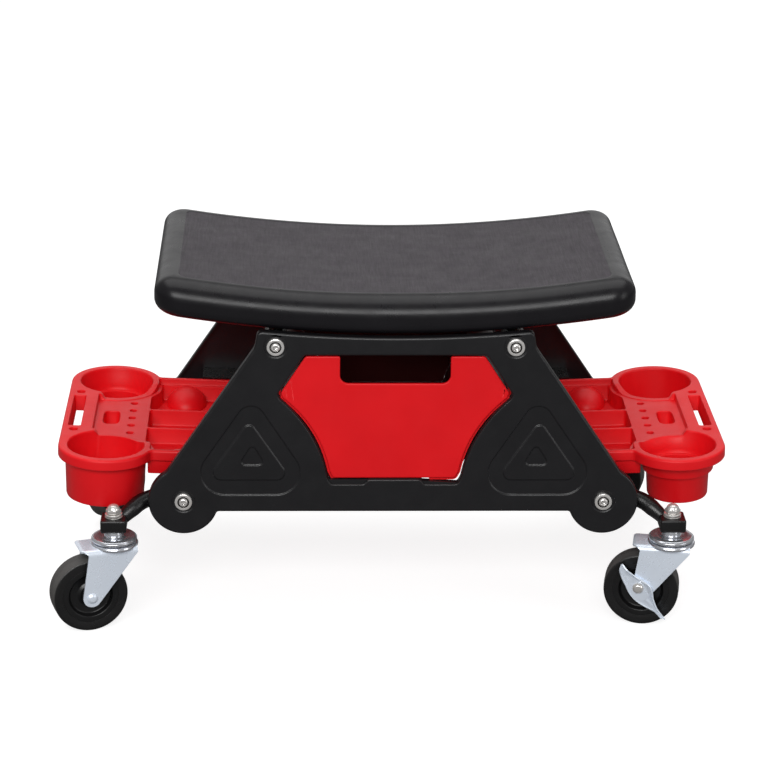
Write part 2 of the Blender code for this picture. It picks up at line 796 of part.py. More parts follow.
def make_trays():
    lip = TRAY_RIM - TRAY_FASCIA
    floor = TRAY_RIM - TRAY_BODY_DEPTH
    above = TRAY_RIM + 0.02
    slab = plate_mesh("tray", [tray_outline()], "Z", lip, TRAY_RIM)
    tray = add_object("tray_right", slab, PARTS, "red_plastic")
    for index, mesh in enumerate(tray_solids(floor, lip + 0.002)):
        boolean(tray, add_cutter(f"tray_solid_{index}", mesh), "UNION")
    boolean(tray, add_cutter("plate_recess", plate_recess(above)), "DIFFERENCE")
    for index, group in enumerate(tray_hollows(floor, above)):
        boolean(tray, add_cutter(f"tray_hollow_{index}", joined("hollow", group)), "DIFFERENCE")
    for index, side in enumerate((-1, 1)):
        boolean(tray, add_cutter(f"tray_hump_{index}", hump_mesh(side, HUMP_RADIUS, floor)), "UNION")
    mesh = bake(tray)
    pivot = Vector((TRAY_OUTER, 0, TRAY_RIM))
    mesh.transform(Matrix.Translation(-pivot))
    tray.location = pivot
    tray.rotation_euler = (0, -TRAY_TILT, 0)
    other = add_object("tray_left", mesh, PARTS, "red_plastic")
    other.location = (-pivot.x, 0, pivot.z)
    other.rotation_euler = (0, -TRAY_TILT, math.radians(180))


def make_tray_rails():
    """Channels on the panels' inner faces that a tray's side edges run in."""
    lip, rim = TRAY_RIM - TRAY_FASCIA - GAP, TRAY_RIM + GAP
    outer = PANEL_FACE - PANEL_SKIN - 2 * GAP
    inner = TRAY_HALF_WIDTH - 0.0025
    wall = RAIL_WALL
    outline = [
        (inner, lip - wall),
        (outer, lip - wall),
        (outer, rim + wall),
        (inner, rim + wall),
        (inner, rim),
        (outer - wall, rim),
        (outer - wall, lip),
        (inner, lip),
    ]
    pivot = Vector((TRAY_OUTER, 0, TRAY_RIM))
    for side in (-1, 1):
        shape = outline if side > 0 else [(-y, z) for y, z in reversed(outline)]
        for end, sign in (("right", 1), ("left", -1)):
            face = "rear" if side == sign else "front"
            mesh = plate_mesh(f"tray_rail_{face}_{end}", [shape], "X", *RAIL_SPAN)
            mesh.transform(Matrix.Translation(-pivot))
            if sign < 0:
                mesh.transform(Matrix.Rotation(math.radians(180), 4, "Z"))
            rail = add_object(mesh.name, mesh, PARTS, "frame_black")
            rail.location = (sign * pivot.x, 0, pivot.z)
            rail.rotation_euler = (0, -sign * TRAY_TILT, 0)


# Caster arms and casters


def smooth_route(points, between):
    """Points along a Catmull-Rom curve through hand-placed points."""
    padded = [points[0]] + list(points) + [points[-1]]
    route = []
    for a, b, c, d in zip(padded, padded[1:], padded[2:], padded[3:]):
        for index in range(between):
            t = index / between
            route.append(
                0.5
                * (
                    2 * b
                    + (c - a) * t
                    + (2 * a - 5 * b + 4 * c - d) * t * t
                    + (3 * b - a - 3 * c + d) * t**3
                )
            )
    return route + [points[-1]]


def make_caster_arm(name, end, face):
    """A round arm from the lower tie, bent out and down into the block that holds the stem."""
    stem = Vector((end * STEM_X, face * STEM_Y, 0))
    heights = (0.128, 0.1235, 0.110, 0.1050)
    offsets = ((-0.072, -0.0315), (-0.036, -0.0305), (-0.022, -0.0165), (-0.0105, -0.005))
    route = [
        Vector((stem.x + end * dx, stem.y + face * dy, z))
        for (dx, dy), z in zip(offsets, heights)
    ]
    arm = add_object(name, tube_mesh(name, smooth_route(route, 3), ARM_RADIUS), PARTS, "frame_black")
    work = bmesh.new()
    bmesh.ops.create_cube(work, size=1.0)
    size = Matrix.Diagonal((0.026, 0.027, BRACKET_TOP - BRACKET_BOTTOM, 1.0))
    centre = Matrix.Translation((stem.x, stem.y, (BRACKET_TOP + BRACKET_BOTTOM) / 2))
    bmesh.ops.transform(work, matrix=centre @ size, verts=work.verts)
    bmesh.ops.bevel(
        work, geom=work.edges[:], offset=0.002, segments=1, affect="EDGES", profile=0.5
    )
    block = bpy.data.meshes.new("block")
    work.to_mesh(block)
    work.free()
    boolean(arm, add_cutter(f"{name}_block", block), "UNION")
    tie = (end * LOWER_BOLT[0], LOWER_BOLT[1])
    trim = cylinder_mesh("trim", tie, TIE_RADIUS + GAP, -0.2, 0.2, 20, "Y")
    boolean(arm, add_cutter(f"{name}_trim", trim), "DIFFERENCE")
    bore = cylinder_mesh("bore", (stem.x, stem.y), STEM_RADIUS + 0.0004, 0.05, 0.15, 12)
    boolean(arm, add_cutter(f"{name}_bore", bore), "DIFFERENCE")


def stem_mesh():
    """Fixed stem: rivet head, neck, upper race, collar and the threaded end."""
    race = FORK_TOP + 0.0015
    return turned_mesh(
        "stem",
        [
            (0, 0.1245),
            (STEM_RADIUS, 0.1235),
            (STEM_RADIUS, BRACKET_BOTTOM - GAP),
            (0.0088, BRACKET_BOTTOM - GAP),
            (0.0088, race + 0.006),
            (0.0200, race + 0.0045),
            (0.0225, race + 0.0025),
            (0.0225, race),
            (0.0060, race),
            (0.0060, FORK_TOP - 0.006),
            (0.0090, FORK_TOP - 0.006),
            (0.0080, FORK_TOP - 0.009),
            (0, FORK_TOP - 0.009),
        ],
        14,
    )


def cap_nut_mesh():
    """Dome nut on its spring washer, hollow to clear the end of the stem."""
    base = BRACKET_TOP + GAP
    bore = STEM_RADIUS + 0.0003
    return turned_mesh(
        "cap_nut",
        [
            (0, base + 0.0155),
            (0.0035, base + 0.0145),
            (0.0062, base + 0.0105),
            (0.0072, base + 0.0075),
            (0.0072, base + 0.003),
            (0.0088, base + 0.003),
            (0.0088, base),
            (bore, base),
            (bore, base + 0.0105),
            (0, base + 0.0115),
        ],
        12,
    )


def leg_outline():
    """One cheek of the fork, in X and Z: wide at the race, round about the axle."""
    axle = (-TRAIL, WHEEL_CENTRE)
    foot = arc(axle, 0.0092, 185, 330, math.radians(29))
    top = FORK_TOP - 0.0005
    return foot + [(0.0175, top - 0.010), (0.0205, top), (-0.0235, top), (-0.0300, top - 0.011)]


def fork_mesh():
    """Swivelling fork: a round top with a tail shelf over two cheeks."""
    low = FORK_TOP - FORK_WALL
    reach = FORK_GAP + FORK_WALL
    crown = arc((0, 0), 0.0215, -47, 47, math.radians(16))
    plan = crown + [(-0.0235, reach), (-0.0370, reach), (-0.0370, -reach), (-0.0235, -reach)]
    fork = add_object("fork", plate_mesh("fork", [plan], "Z", low, FORK_TOP), CUTTERS)
    cheeks = [
        plate_mesh("cheek", [leg_outline()], "Y", *sorted((side * FORK_GAP, side * reach)))
        for side in (-1, 1)
    ]
    boolean(fork, add_cutter("fork_cheeks", joined("cheeks", cheeks)), "UNION")
    king = cylinder_mesh("king_hole", (0, 0), 0.0066, 0.07, 0.1, 14)
    axle = cylinder_mesh("axle_hole", (-TRAIL, WHEEL_CENTRE), 0.0043, -0.04, 0.04, 12, "Y")
    boolean(fork, add_cutter("fork_bores", joined("bores", [king, axle])), "DIFFERENCE")
    mesh = bake(fork)
    bpy.data.objects.remove(fork)
    return mesh


def axle_mesh(braked):
    """Axle bolt along Z with its head and lock nut; a braked fork has the lever under the head."""
    seat = FORK_GAP + FORK_WALL + GAP
    head = seat + (0.0026 if braked else 0.0)
    return turned_mesh(
        "axle",
        [
            (0, head + 0.0048),
            (0.0045, head + 0.0048),
            (0.0064, head + 0.0036),
            (0.0064, head),
            (0.0040, head),
            (0.0040, -seat),
            (0.0064, -seat),
            (0.0064, -seat - 0.0036),
            (0.0045, -seat - 0.0048),
            (0, -seat - 0.0048),
        ],
        10,
    )


def wheel_mesh():
    """Wheel centre: rim, dished web and long hub, with a bore for the axle."""
    bore = 0.0043
    half = [(0.0280, 0.0100), (0.0245, 0.0100), (0.0225, 0.0065), (0.0110, 0.0065)]
    half += [(0.0092, FORK_GAP - 0.0006), (bore, FORK_GAP - 0.0006)]
    down = [half[0]] + [(r, -z) for r, z in half]
    return turned_mesh("wheel", down + list(reversed(half))[:-1], 18, closed=True)


def tyre_mesh():
    shoulder = 0.0026
    half = [(TYRE_RADIUS, TYRE_HALF_WIDTH - shoulder), (TYRE_RADIUS - shoulder, TYRE_HALF_WIDTH)]
    half += [(TYRE_BORE, TYRE_HALF_WIDTH)]
    profile = [half[1], half[0]] + [(r, -z) for r, z in half] + [half[2]]
    mesh = turned_mesh("tyre", profile, TYRE_STEPS, closed=True)
    mesh.transform(Matrix.Rotation(math.pi / TYRE_STEPS, 4, "Z"))
    return mesh


def brake_mesh():
    """Leaf-shaped brake lever about the axle, with a finger lip turned out at its tip."""
    low = FORK_GAP + FORK_WALL + GAP
    high = low + 0.002
    leaf = rounded(
        [
            (-0.021, 0.031, 0.004),
            (-0.017, 0.004, 0.012),
            (0.006, -0.021, 0.010),
            (0.029, -0.030, 0.003),
            (0.021, -0.012, 0.012),
            (0.013, 0.012, 0.012),
            (-0.006, 0.023, 0.012),
        ]
    )
    lever = add_object("lever", plate_mesh("lever", [leaf], "Z", low, high), CUTTERS)
    lip = [(0.020, -0.0305), (0.030, -0.0305), (0.030, -0.020), (0.020, -0.0225)]
    finger = plate_mesh("finger", [lip], "Z", low, high + 0.005)
    boolean(lever, add_cutter("lever_finger", finger), "UNION")
    hole = cylinder_mesh("lever_hole", (0, 0), 0.0043, 0, 0.04, 12)
    boolean(lever, add_cutter("lever_hole", hole), "DIFFERENCE")
    mesh = bake(lever)
    bpy.data.objects.remove(lever)
    return mesh


def make_casters():
    stem, nut, fork = stem_mesh(), cap_nut_mesh(), fork_mesh()
    wheel, tyre, brake = wheel_mesh(), tyre_mesh(), brake_mesh()
    axles = {braked: axle_mesh(braked) for braked in (False, True)}
    for place, end, face, yaw, braked in CASTERS:
        make_caster_arm(f"caster_arm_{place}", end, face)
        swivel = bpy.data.objects.new(f"swivel_{place}_axis", None)
        PARTS.objects.link(swivel)
        swivel.location = (end * STEM_X, face * STEM_Y, 0)
        for name, mesh, finish in (("caster_stem", stem, "zinc"), ("cap_nut", nut, "bolt_zinc")):
            fixed = add_object(f"{name}_{place}", mesh, PARTS, finish)
            fixed.location = swivel.location
        swivel.rotation_euler = (0, 0, math.radians(yaw))
        add_object(f"fork_{place}", fork, PARTS, "zinc").parent = swivel
        turning = [("axle", axles[braked], "zinc"), ("wheel", wheel, "wheel_black")]
        turning.append(("tyre", tyre, "tyre_rubber"))
        if braked:
            turning.append(("brake_lever", brake, "zinc"))
        for name, mesh, finish in turning:
            piece = add_object(f"{name}_{place}", mesh, PARTS, finish)
            piece.parent = swivel
            piece.location = (-TRAIL, 0, WHEEL_CENTRE)
            piece.rotation_euler = (math.radians(90), 0, 0)


clear_scene()
PARTS = new_collection("mechanics_creeper")
CUTTERS = new_collection("cutters")
MATERIALS = make_materials()
make_seat()
make_seat_straps()
make_panel("front_panel", -1)
make_panel("rear_panel", 1)
make_ties()
make_tie_bolts()
make_drawer()
make_trays()
make_tray_rails()
make_casters()
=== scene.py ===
"""Looks of the mechanic's creeper seat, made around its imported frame. Metres, +X along the seat,
-Y towards the drawer's face, +Z up."""

import math

import bmesh
import bpy
import numpy as np
from mathutils import Matrix, Vector
from mathutils.geometry import delaunay_2d_cdt


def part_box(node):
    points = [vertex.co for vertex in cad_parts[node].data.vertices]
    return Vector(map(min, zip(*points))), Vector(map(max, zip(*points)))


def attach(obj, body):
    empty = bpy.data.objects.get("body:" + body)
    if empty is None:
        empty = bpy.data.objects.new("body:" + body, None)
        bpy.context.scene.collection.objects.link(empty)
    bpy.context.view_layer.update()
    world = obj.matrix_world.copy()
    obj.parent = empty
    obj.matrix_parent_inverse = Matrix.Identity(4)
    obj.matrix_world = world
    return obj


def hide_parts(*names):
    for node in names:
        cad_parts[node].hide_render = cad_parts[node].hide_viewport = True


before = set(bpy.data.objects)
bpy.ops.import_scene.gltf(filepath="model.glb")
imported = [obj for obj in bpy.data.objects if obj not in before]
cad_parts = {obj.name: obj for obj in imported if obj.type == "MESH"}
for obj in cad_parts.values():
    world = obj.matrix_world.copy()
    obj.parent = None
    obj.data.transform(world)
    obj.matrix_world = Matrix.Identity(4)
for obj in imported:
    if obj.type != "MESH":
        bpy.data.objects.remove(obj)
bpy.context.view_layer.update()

# Seat
SEAT_HALF = np.array([0.237, 0.138])
SEAT_CORNER = 0.026
SEAT_UNDERSIDE = 0.3015
SADDLE = 0.370
PANEL_STEP_IN = 0.0240

# Side panels and drawer, in X and Z
FACES = (("front", -1), ("rear", 1))
PANEL_FACE = 0.141
PANEL_SKIN = 0.003
PANEL_FLANGE = 0.010
PANEL_TOP = 0.3005
PANEL_BOTTOM = 0.117
PANEL_TOP_CORNER = 0.1355
SLOPE_TOP = np.array([0.1385, 0.290])
SLOPE_RUN_PER_RISE = 0.675
WINDOW_LEDGE = -0.0018
WINDOW_FLANGE = -0.0094
LOBE_RADIUS = 0.035
LOWER_BOLT = np.array([0.210, 0.128])
UPPER_BOLT = np.array([0.118, 0.2915])
PRESSED_DEPTH = 0.0011
WINDOW_TOP = np.array([0.090, 0.283])
WINDOW_POINT = np.array([0.1165, 0.241])
WINDOW_FOOT = np.array([0.0635, 0.1464])
LIP_TOP = 0.1513
DRAWER_GAP = 0.0026
DRAWER_FRONT = 0.1375
DRAWER_PLATE = 0.003
DRAWER_WALL = 0.0025
DRAWER_BIN_TOP = 0.243
DRAWER_FLOOR = 0.1556

# Trays, laid out level for the right side
TRAY_TILT = math.radians(2.0)
TRAY_OUTER = 0.337
TRAY_INNER = 0.082
TRAY_RIM = 0.1735
TRAY_LIP = TRAY_RIM - 0.011
TRAY_PLATE = TRAY_RIM - 0.007
TRAY_FLOOR = TRAY_RIM - 0.0265
TRAY_HALF_WIDTH = 0.109
CUP = np.array([0.289, 0.094])
CUP_RADIUS = 0.0385
CUP_BOTTOM = TRAY_RIM - 0.0515

# Casters
FORK_TOP = 0.0865
FORK_REACH = 0.016
BLOCK = (0.1028, 0.1157)
ARM_RADIUS = 0.0083
PLACES = ("front_left", "front_right", "rear_left", "rear_right")
BRAKED = ("front_right", "rear_left")


# Outlines: arrays of points in a plane, anticlockwise when closed


def unit(v):
    return v / np.linalg.norm(v, axis=-1, keepdims=True)


def rounded(corners, closed=True, step=math.radians(7)):
    """Outline through (x, y, radius) corners, each turned by an arc tangent to both its sides."""
    out = []
    last = len(corners) - 1
    for k, (x, y, radius) in enumerate(corners):
        corner = np.array([x, y])
        if radius == 0 or (not closed and k in (0, last)):
            out.append(corner[None])
            continue
        before = unit(np.array(corners[k - 1][:2]) - corner)
        after = unit(np.array(corners[(k + 1) % len(corners)][:2]) - corner)
        half = math.acos(np.clip(before @ after, -1, 1)) / 2
        centre = corner + unit(before + after) * radius / math.sin(half)
        start = corner + before * radius / math.tan(half) - centre
        end = corner + after * radius / math.tan(half) - centre
        first = math.atan2(start[1], start[0])
        turn = math.atan2(start[0] * end[1] - start[1] * end[0], start @ end)
        a = first + turn * np.linspace(0, 1, max(3, math.ceil(abs(turn) / step) + 1))
        out.append(centre + radius * np.column_stack([np.cos(a), np.sin(a)]))
    return np.vstack(out)


def box_outline(low, high, radius):
    corners = ((low[0], low[1]), (high[0], low[1]), (high[0], high[1]), (low[0], high[1]))
    return rounded([(x, y, radius) for x, y in corners])


def arc(centre, radius, start, end, count=24):
    """Points centre + radius (cos a, sin a) for a from start to end, in degrees."""
    a = np.radians(np.linspace(start, end, count))
    return np.array(centre) + radius * np.column_stack([np.cos(a), np.sin(a)])


def ring(centre, radius, count=72):
    return arc(centre, radius, 0, 360, count + 1)[:-1]


def inset(loop, distance):
    """Outline moved inwards: p + (n1 + n2) d / (1 + n1.n2), with n1, n2 its sides' normals."""
    into = unit(loop - np.roll(loop, 1, 0))
    out = unit(np.roll(loop, -1, 0) - loop)
    n1 = np.column_stack([-into[:, 1], into[:, 0]])
    n2 = np.column_stack([-out[:, 1], out[:, 0]])
    return loop + (n1 + n2) * (distance / (1 + (n1 * n2).sum(1)))[:, None]


def mirrored(points):
    """The same points with x negated, in reverse order."""
    return (points * (-1, 1))[::-1]


def softened(loop, width, spacing=0.0012):
    """Outline read at even spacing, then twice averaged over a width along itself."""
    around = np.vstack([loop, loop[:1]])
    run = np.concatenate([[0], np.cumsum(np.linalg.norm(np.diff(around, axis=0), axis=1))])
    count = int(run[-1] / spacing)
    at = np.arange(count) * run[-1] / count
    even = np.column_stack([np.interp(at, run, around[:, k]) for k in (0, 1)])
    reach = max(1, int(width / spacing / 2))
    for _ in range(2):
        even = np.mean([np.roll(even, k, 0) for k in range(-reach, reach + 1)], axis=0)
    return even


def through(points, count):
    """Catmull-Rom curve through points, read at evenly spaced parameters."""
    p = np.array(points, float)
    p = np.vstack([2 * p[0] - p[1], p, 2 * p[-1] - p[-2]])
    at = np.linspace(0, len(p) - 3 - 1e-9, count)
    k = at.astype(int)
    t = (at - k)[:, None]
    a, b, c, d = p[k], p[k + 1], p[k + 2], p[k + 3]
    return 0.5 * (
        2 * b + (c - a) * t + (2 * a - 5 * b + 4 * c - d) * t**2 + (3 * b - a - 3 * c + d) * t**3
    )


# Surfaces


def grid_faces(rows, columns, wrap_rows=False, wrap_columns=False):
    """Quads (i, j), (i+1, j), (i+1, j+1), (i, j+1) over points numbered row by row."""
    i = np.arange(rows if wrap_rows else rows - 1)
    j = np.arange(columns if wrap_columns else columns - 1)
    i, j = np.meshgrid(i, j, indexing="ij")
    down, right = (i + 1) % rows, (j + 1) % columns
    quads = [i * columns + j, down * columns + j, down * columns + right, i * columns + right]
    return np.stack(quads, -1).reshape(-1, 4)


def inside(points, loop):
    """True where a point lies inside a closed outline, by counting sides crossed to its right."""
    x, y = points[:, 0, None], points[:, 1, None]
    x1, y1 = loop[:, 0], loop[:, 1]
    x2, y2 = np.roll(x1, -1), np.roll(y1, -1)
    level = (y1 > y) != (y2 > y)
    rise = np.where(y2 == y1, 1e-12, y2 - y1)
    return (level & (x < x1 + (y - y1) * (x2 - x1) / rise)).sum(1) % 2 == 1


class Skin:
    """The walls and flats of one moulding, kept as points (x, y, height) and faces."""

    def __init__(self):
        self.points = []
        self.faces = []
        self.count = 0

    def add(self, points, faces):
        points = np.asarray(points, float).reshape(-1, 3)
        self.points.append(points)
        self.faces += (np.asarray(faces) + self.count).tolist()
        self.count += len(points)

    def wall(self, loop, steps):
        """A closed outline carried through (step in, height) pairs: ring = inset(outline, step)."""
        rings = [np.column_stack([inset(loop, s), np.full(len(loop), h)]) for s, h in steps]
        self.add(np.stack(rings), grid_faces(len(steps), len(loop), wrap_columns=True))

    def flat(self, height, *loops):
        """Flat region between nested outlines: Delaunay triangles with their middles inside an
        odd number of the outlines."""
        points = np.vstack(loops)
        edges, start = [], 0
        for loop in loops:
            index = np.arange(len(loop))
            edges += (np.column_stack([index, np.roll(index, -1)]) + start).tolist()
            start += len(loop)
        made = delaunay_2d_cdt([Vector(p) for p in points], edges, [], 0, 1e-9)
        flat = np.array([list(v) for v in made[0]])
        triangles = np.array([f for f in made[2] if len(f) == 3])
        middles = flat[triangles].mean(1)
        kept = sum(inside(middles, loop).astype(int) for loop in loops) % 2 == 1
        self.add(np.column_stack([flat, np.full(len(flat), height)]), triangles[kept])

    def all_points(self):
        return np.vstack(self.points)


def turned(profile, steps=64):
    """Surface of revolution: (r cos t, r sin t, h) for each (r, h) of the profile."""
    p = np.asarray(profile, float)
    t = np.arange(steps) * 2 * math.pi / steps
    r, h = p[:, 0, None], np.repeat(p[:, 1, None], steps, 1)
    points = np.stack([r * np.cos(t), r * np.sin(t), h], -1)
    return points, grid_faces(len(p), steps, wrap_columns=True)


def turned_smooth(corners, steps=64, closed=False):
    """A turned surface whose (radius, height, rounding) corners are rounded first."""
    profile = rounded(corners, closed=closed, step=math.radians(15))
    if closed:
        profile = np.vstack([profile, profile[:1]])
    return turned(profile, steps)


def make_piece(name, points, faces, finish, body, stands_for=(), sharp=40, closed=True):
    """One object from a surface: welded, turned outwards, smooth up to a sharp angle."""
    mesh = bpy.data.meshes.new(name)
    mesh.from_pydata(np.asarray(points).reshape(-1, 3).tolist(), [], np.asarray(faces).tolist()
                     if isinstance(faces, np.ndarray) else faces)
    work = bmesh.new()
    work.from_mesh(mesh)
    bmesh.ops.remove_doubles(work, verts=work.verts, dist=2e-6)
    if closed:
        bmesh.ops.recalc_face_normals(work, faces=work.faces)
    work.to_mesh(mesh)
    work.free()
    mesh.shade_smooth()
    mesh.set_sharp_from_angle(angle=math.radians(sharp))
    mesh.materials.append(finish)
    made = bpy.data.objects.new(name, mesh)
    bpy.context.scene.collection.objects.link(made)
    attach(made, body)
    if stands_for:
        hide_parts(*stands_for)
    return made


def turn_z(points, degrees, place=(0, 0, 0)):
    a = math.radians(degrees)
    spin = np.array([[math.cos(a), -math.sin(a), 0], [math.sin(a), math.cos(a), 0], [0, 0, 1]])
    return points.reshape(-1, 3) @ spin.T + np.array(place)


def merge_surfaces(*surfaces):
    skin = Skin()
    for points, faces in surfaces:
        skin.add(points, faces)
    return skin.all_points(), skin.faces


# Shader groups


class Net:
    """Short calls for adding and joining shader nodes in one tree."""

    def __init__(self, tree):
        self.tree = tree

    def add(self, kind, **settings):
        node = self.tree.nodes.new(kind)
        for key, value in settings.items():
            if key in node.inputs.keys():
                node.inputs[key].default_value = value
            else:
                setattr(node, key.lower(), value)
        return node

    def join(self, source, target):
        self.tree.links.new(source, target)

    def maths(self, operation, a, b=None, c=None, clamp=False):
        node = self.tree.nodes.new("ShaderNodeMath")
        node.operation = operation
        node.use_clamp = clamp
        for socket, value in zip(node.inputs, (a, b, c)):
            if isinstance(value, (int, float)):
                socket.default_value = value
            elif value is not None:
                self.join(value, socket)
        return node.outputs[0]

    def span(self, value, low, high, to_low=0.0, to_high=1.0):
        node = self.tree.nodes.new("ShaderNodeMapRange")
        node.inputs["From Min"].default_value = low
        node.inputs["From Max"].default_value = high
        node.inputs["To Min"].default_value = to_low
        node.inputs["To Max"].default_value = to_high
        self.join(value, node.inputs["Value"])
        return node.outputs["Result"]

    def blend(self, mask, first, second):
        node = self.tree.nodes.new("ShaderNodeMix")
        node.data_type = "RGBA"
        for value, socket in ((mask, node.inputs[0]), (first, node.inputs[6]), (second, node.inputs[7])):
            if isinstance(value, (tuple, list)):
                socket.default_value = (*value, 1.0) if len(value) == 3 else value
            elif isinstance(value, float):
                socket.default_value = value
            else:
                self.join(value, socket)
        return node.outputs[2]

    def noise(self, coordinates, scale, detail=4.0, roughness=0.55, stretch=None):
        if stretch:
            mapping = self.add("ShaderNodeMapping", Scale=stretch)
            self.join(coordinates, mapping.inputs["Vector"])
            coordinates = mapping.outputs["Vector"]
        node = self.add("ShaderNodeTexNoise", Detail=detail, Roughness=roughness)
        self.join(coordinates, node.inputs["Vector"])
        if isinstance(scale, (int, float)):
            node.inputs["Scale"].default_value = scale
        else:
            self.join(scale, node.inputs["Scale"])
        return node.outputs["Fac"]


def new_group(name, inputs, outputs):
    """An empty shader group with float inputs (name: default) and float outputs."""
    group = bpy.data.node_groups.new(name, "ShaderNodeTree")
    for label, default in inputs.items():
        socket = group.interface.new_socket(label, in_out="INPUT", socket_type="NodeSocketFloat")
        socket.default_value = default
    for label in outputs:
        group.interface.new_socket(label, in_out="OUTPUT", socket_type="NodeSocketFloat")
    net = Net(group)
    return group, net, net.add("NodeGroupInput").outputs, net.add("NodeGroupOutput").inputs


def moulded_grain_group():
    """Fine surface grain: noise at a scale for the height, a slow noise for the shade."""
    group, net, given, result = new_group(
        "moulded_grain", {"Scale": 900.0, "Depth": 0.5}, ("Height", "Shade", "Roughness Shift")
    )
    here = net.add("ShaderNodeTexCoord").outputs["Object"]
    fine = net.noise(here, given["Scale"], detail=3.0)
    net.join(net.maths("MULTIPLY", fine, given["Depth"]), result["Height"])
    slow = net.noise(here, 14.0, detail=3.0)
    net.join(net.span(slow, 0.35, 0.65), result["Shade"])
    patch = net.noise(here, 45.0, detail=5.0, roughness=0.65)
    net.join(net.span(patch, 0.3, 0.7, -0.05, 0.06), result["Roughness Shift"])
    return group


def settled_dust_group():
    """Dust where a face looks up: the normal's height times a broken noise."""
    group, net, given, result = new_group("settled_dust", {"Amount": 0.1}, ("Mask",))
    here = net.add("ShaderNodeTexCoord").outputs["Object"]
    normal = net.add("ShaderNodeSeparateXYZ")
    net.join(net.add("ShaderNodeNewGeometry").outputs["Normal"], normal.inputs[0])
    up = net.maths("POWER", net.maths("MAXIMUM", normal.outputs["Z"], 0.0), 3.0)
    broken = net.span(net.noise(here, 60.0, detail=8.0, roughness=0.7), 0.35, 0.75)
    mask = net.maths("MULTIPLY", net.maths("MULTIPLY", up, broken), given["Amount"], clamp=True)
    net.join(mask, result["Mask"])
    return group


def fine_scratch_group():
    """Thin rub marks: a noise stretched along one way, kept only near its middle value."""
    group, net, given, result = new_group(
        "fine_scratches", {"Scale": 60.0, "Amount": 0.3}, ("Mask", "Height")
    )
    here = net.add("ShaderNodeTexCoord").outputs["Object"]
    long = net.noise(here, given["Scale"], detail=2.0, stretch=(1.0, 9.0, 14.0))
    near = net.maths("ABSOLUTE", net.maths("SUBTRACT", long, 0.5))
    line = net.span(near, 0.0, 0.012, 1.0, 0.0)
    where = net.span(net.noise(here, 22.0, detail=3.0), 0.5, 0.62)
    mask = net.maths("MULTIPLY", net.maths("MULTIPLY", line, where), given["Amount"], clamp=True)
    net.join(mask, result["Mask"])
    net.join(net.maths("MULTIPLY", mask, -1.0), result["Height"])
    return group


def inset_panel_group():
    """Mask of the seat's grained top: 1 within a rounded rectangle, where the face looks up.
    Distance = length of max(|p| - half + radius, 0) - radius."""
    group, net, given, result = new_group(
        "seat_top_panel", {"Half X": 0.2, "Half Y": 0.1, "Radius": 0.01}, ("Mask",)
    )
    here = net.add("ShaderNodeSeparateXYZ")
    net.join(net.add("ShaderNodeTexCoord").outputs["Object"], here.inputs[0])
    past = []
    for axis in "XY":
        edge = net.maths("SUBTRACT", net.maths("ABSOLUTE", here.outputs[axis]), given[f"Half {axis}"])
        past.append(net.maths("MAXIMUM", net.maths("ADD", edge, given["Radius"]), 0.0))
    squares = [net.maths("MULTIPLY", p, p) for p in past]
    reach = net.maths("SQRT", net.maths("ADD", *squares))
    distance = net.maths("SUBTRACT", reach, given["Radius"])
    normal = net.add("ShaderNodeSeparateXYZ")
    net.join(net.add("ShaderNodeNewGeometry").outputs["Normal"], normal.inputs[0])
    up = net.span(normal.outputs["Z"], 0.2, 0.4)
    net.join(net.maths("MULTIPLY", net.span(distance, -0.0004, 0.0006, 1.0, 0.0), up), result["Mask"])
    return group


GRAIN = moulded_grain_group()
DUST = settled_dust_group()
SCRATCH = fine_scratch_group()
TOP_PANEL = inset_panel_group()


# Materials


def new_material(name, **sockets):
    made = bpy.data.materials.new(name)
    made.use_nodes = True
    net = Net(made.node_tree)
    shader = made.node_tree.nodes["Principled BSDF"]
    for label, value in sockets.items():
        shader.inputs[label.replace("_", " ")].default_value = value
    return made, net, shader


def put(net, group, **values):
    node = net.add("ShaderNodeGroup")
    node.node_tree = group
    for label, value in values.items():
        node.inputs[label].default_value = value
    return node.outputs


def bump(net, shader, height, distance, strength=1.0):
    node = net.add("ShaderNodeBump", Strength=strength, Distance=distance)
    net.join(height, node.inputs["Height"])
    net.join(node.outputs["Normal"], shader.inputs["Normal"])


def plastic(name, colour, deep, roughness, grain, depth, dust, dust_colour, scratches=0.25,
            inside=None, **more):
    """Moulded plastic: two close shades, fine grain, thin scratches and a little dust. Faces whose
    attribute "inside" is 1 take painted shade, a third, darker colour standing in for shadow, when one is
    given."""
    made, net, shader = new_material(name, **more)
    surface = put(net, GRAIN, Scale=grain, Depth=1.0)
    marks = put(net, SCRATCH, Scale=50.0, Amount=scratches)
    mixed = net.blend(surface["Shade"], deep, colour)
    worn = net.blend(marks["Mask"], mixed, tuple(min(1.0, c * 1.35 + 0.01) for c in colour))
    base_colour = net.blend(put(net, DUST, Amount=dust)["Mask"], worn, dust_colour)
    # Painted shade: faces marked "inside" take the darker colour in place of shadow.
    if inside:
        mark = net.add("ShaderNodeAttribute", Attribute_Name="inside").outputs["Fac"]
        base_colour = net.blend(mark, base_colour, inside)
    net.join(base_colour, shader.inputs["Base Color"])
    rough = net.maths("ADD", surface["Roughness Shift"], roughness)
    rough = net.maths("ADD", rough, net.maths("MULTIPLY", marks["Mask"], 0.15), clamp=True)
    net.join(rough, shader.inputs["Roughness"])
    height = net.maths("ADD", surface["Height"], net.maths("MULTIPLY", marks["Height"], 0.15))
    bump(net, shader, height, depth)
    return made


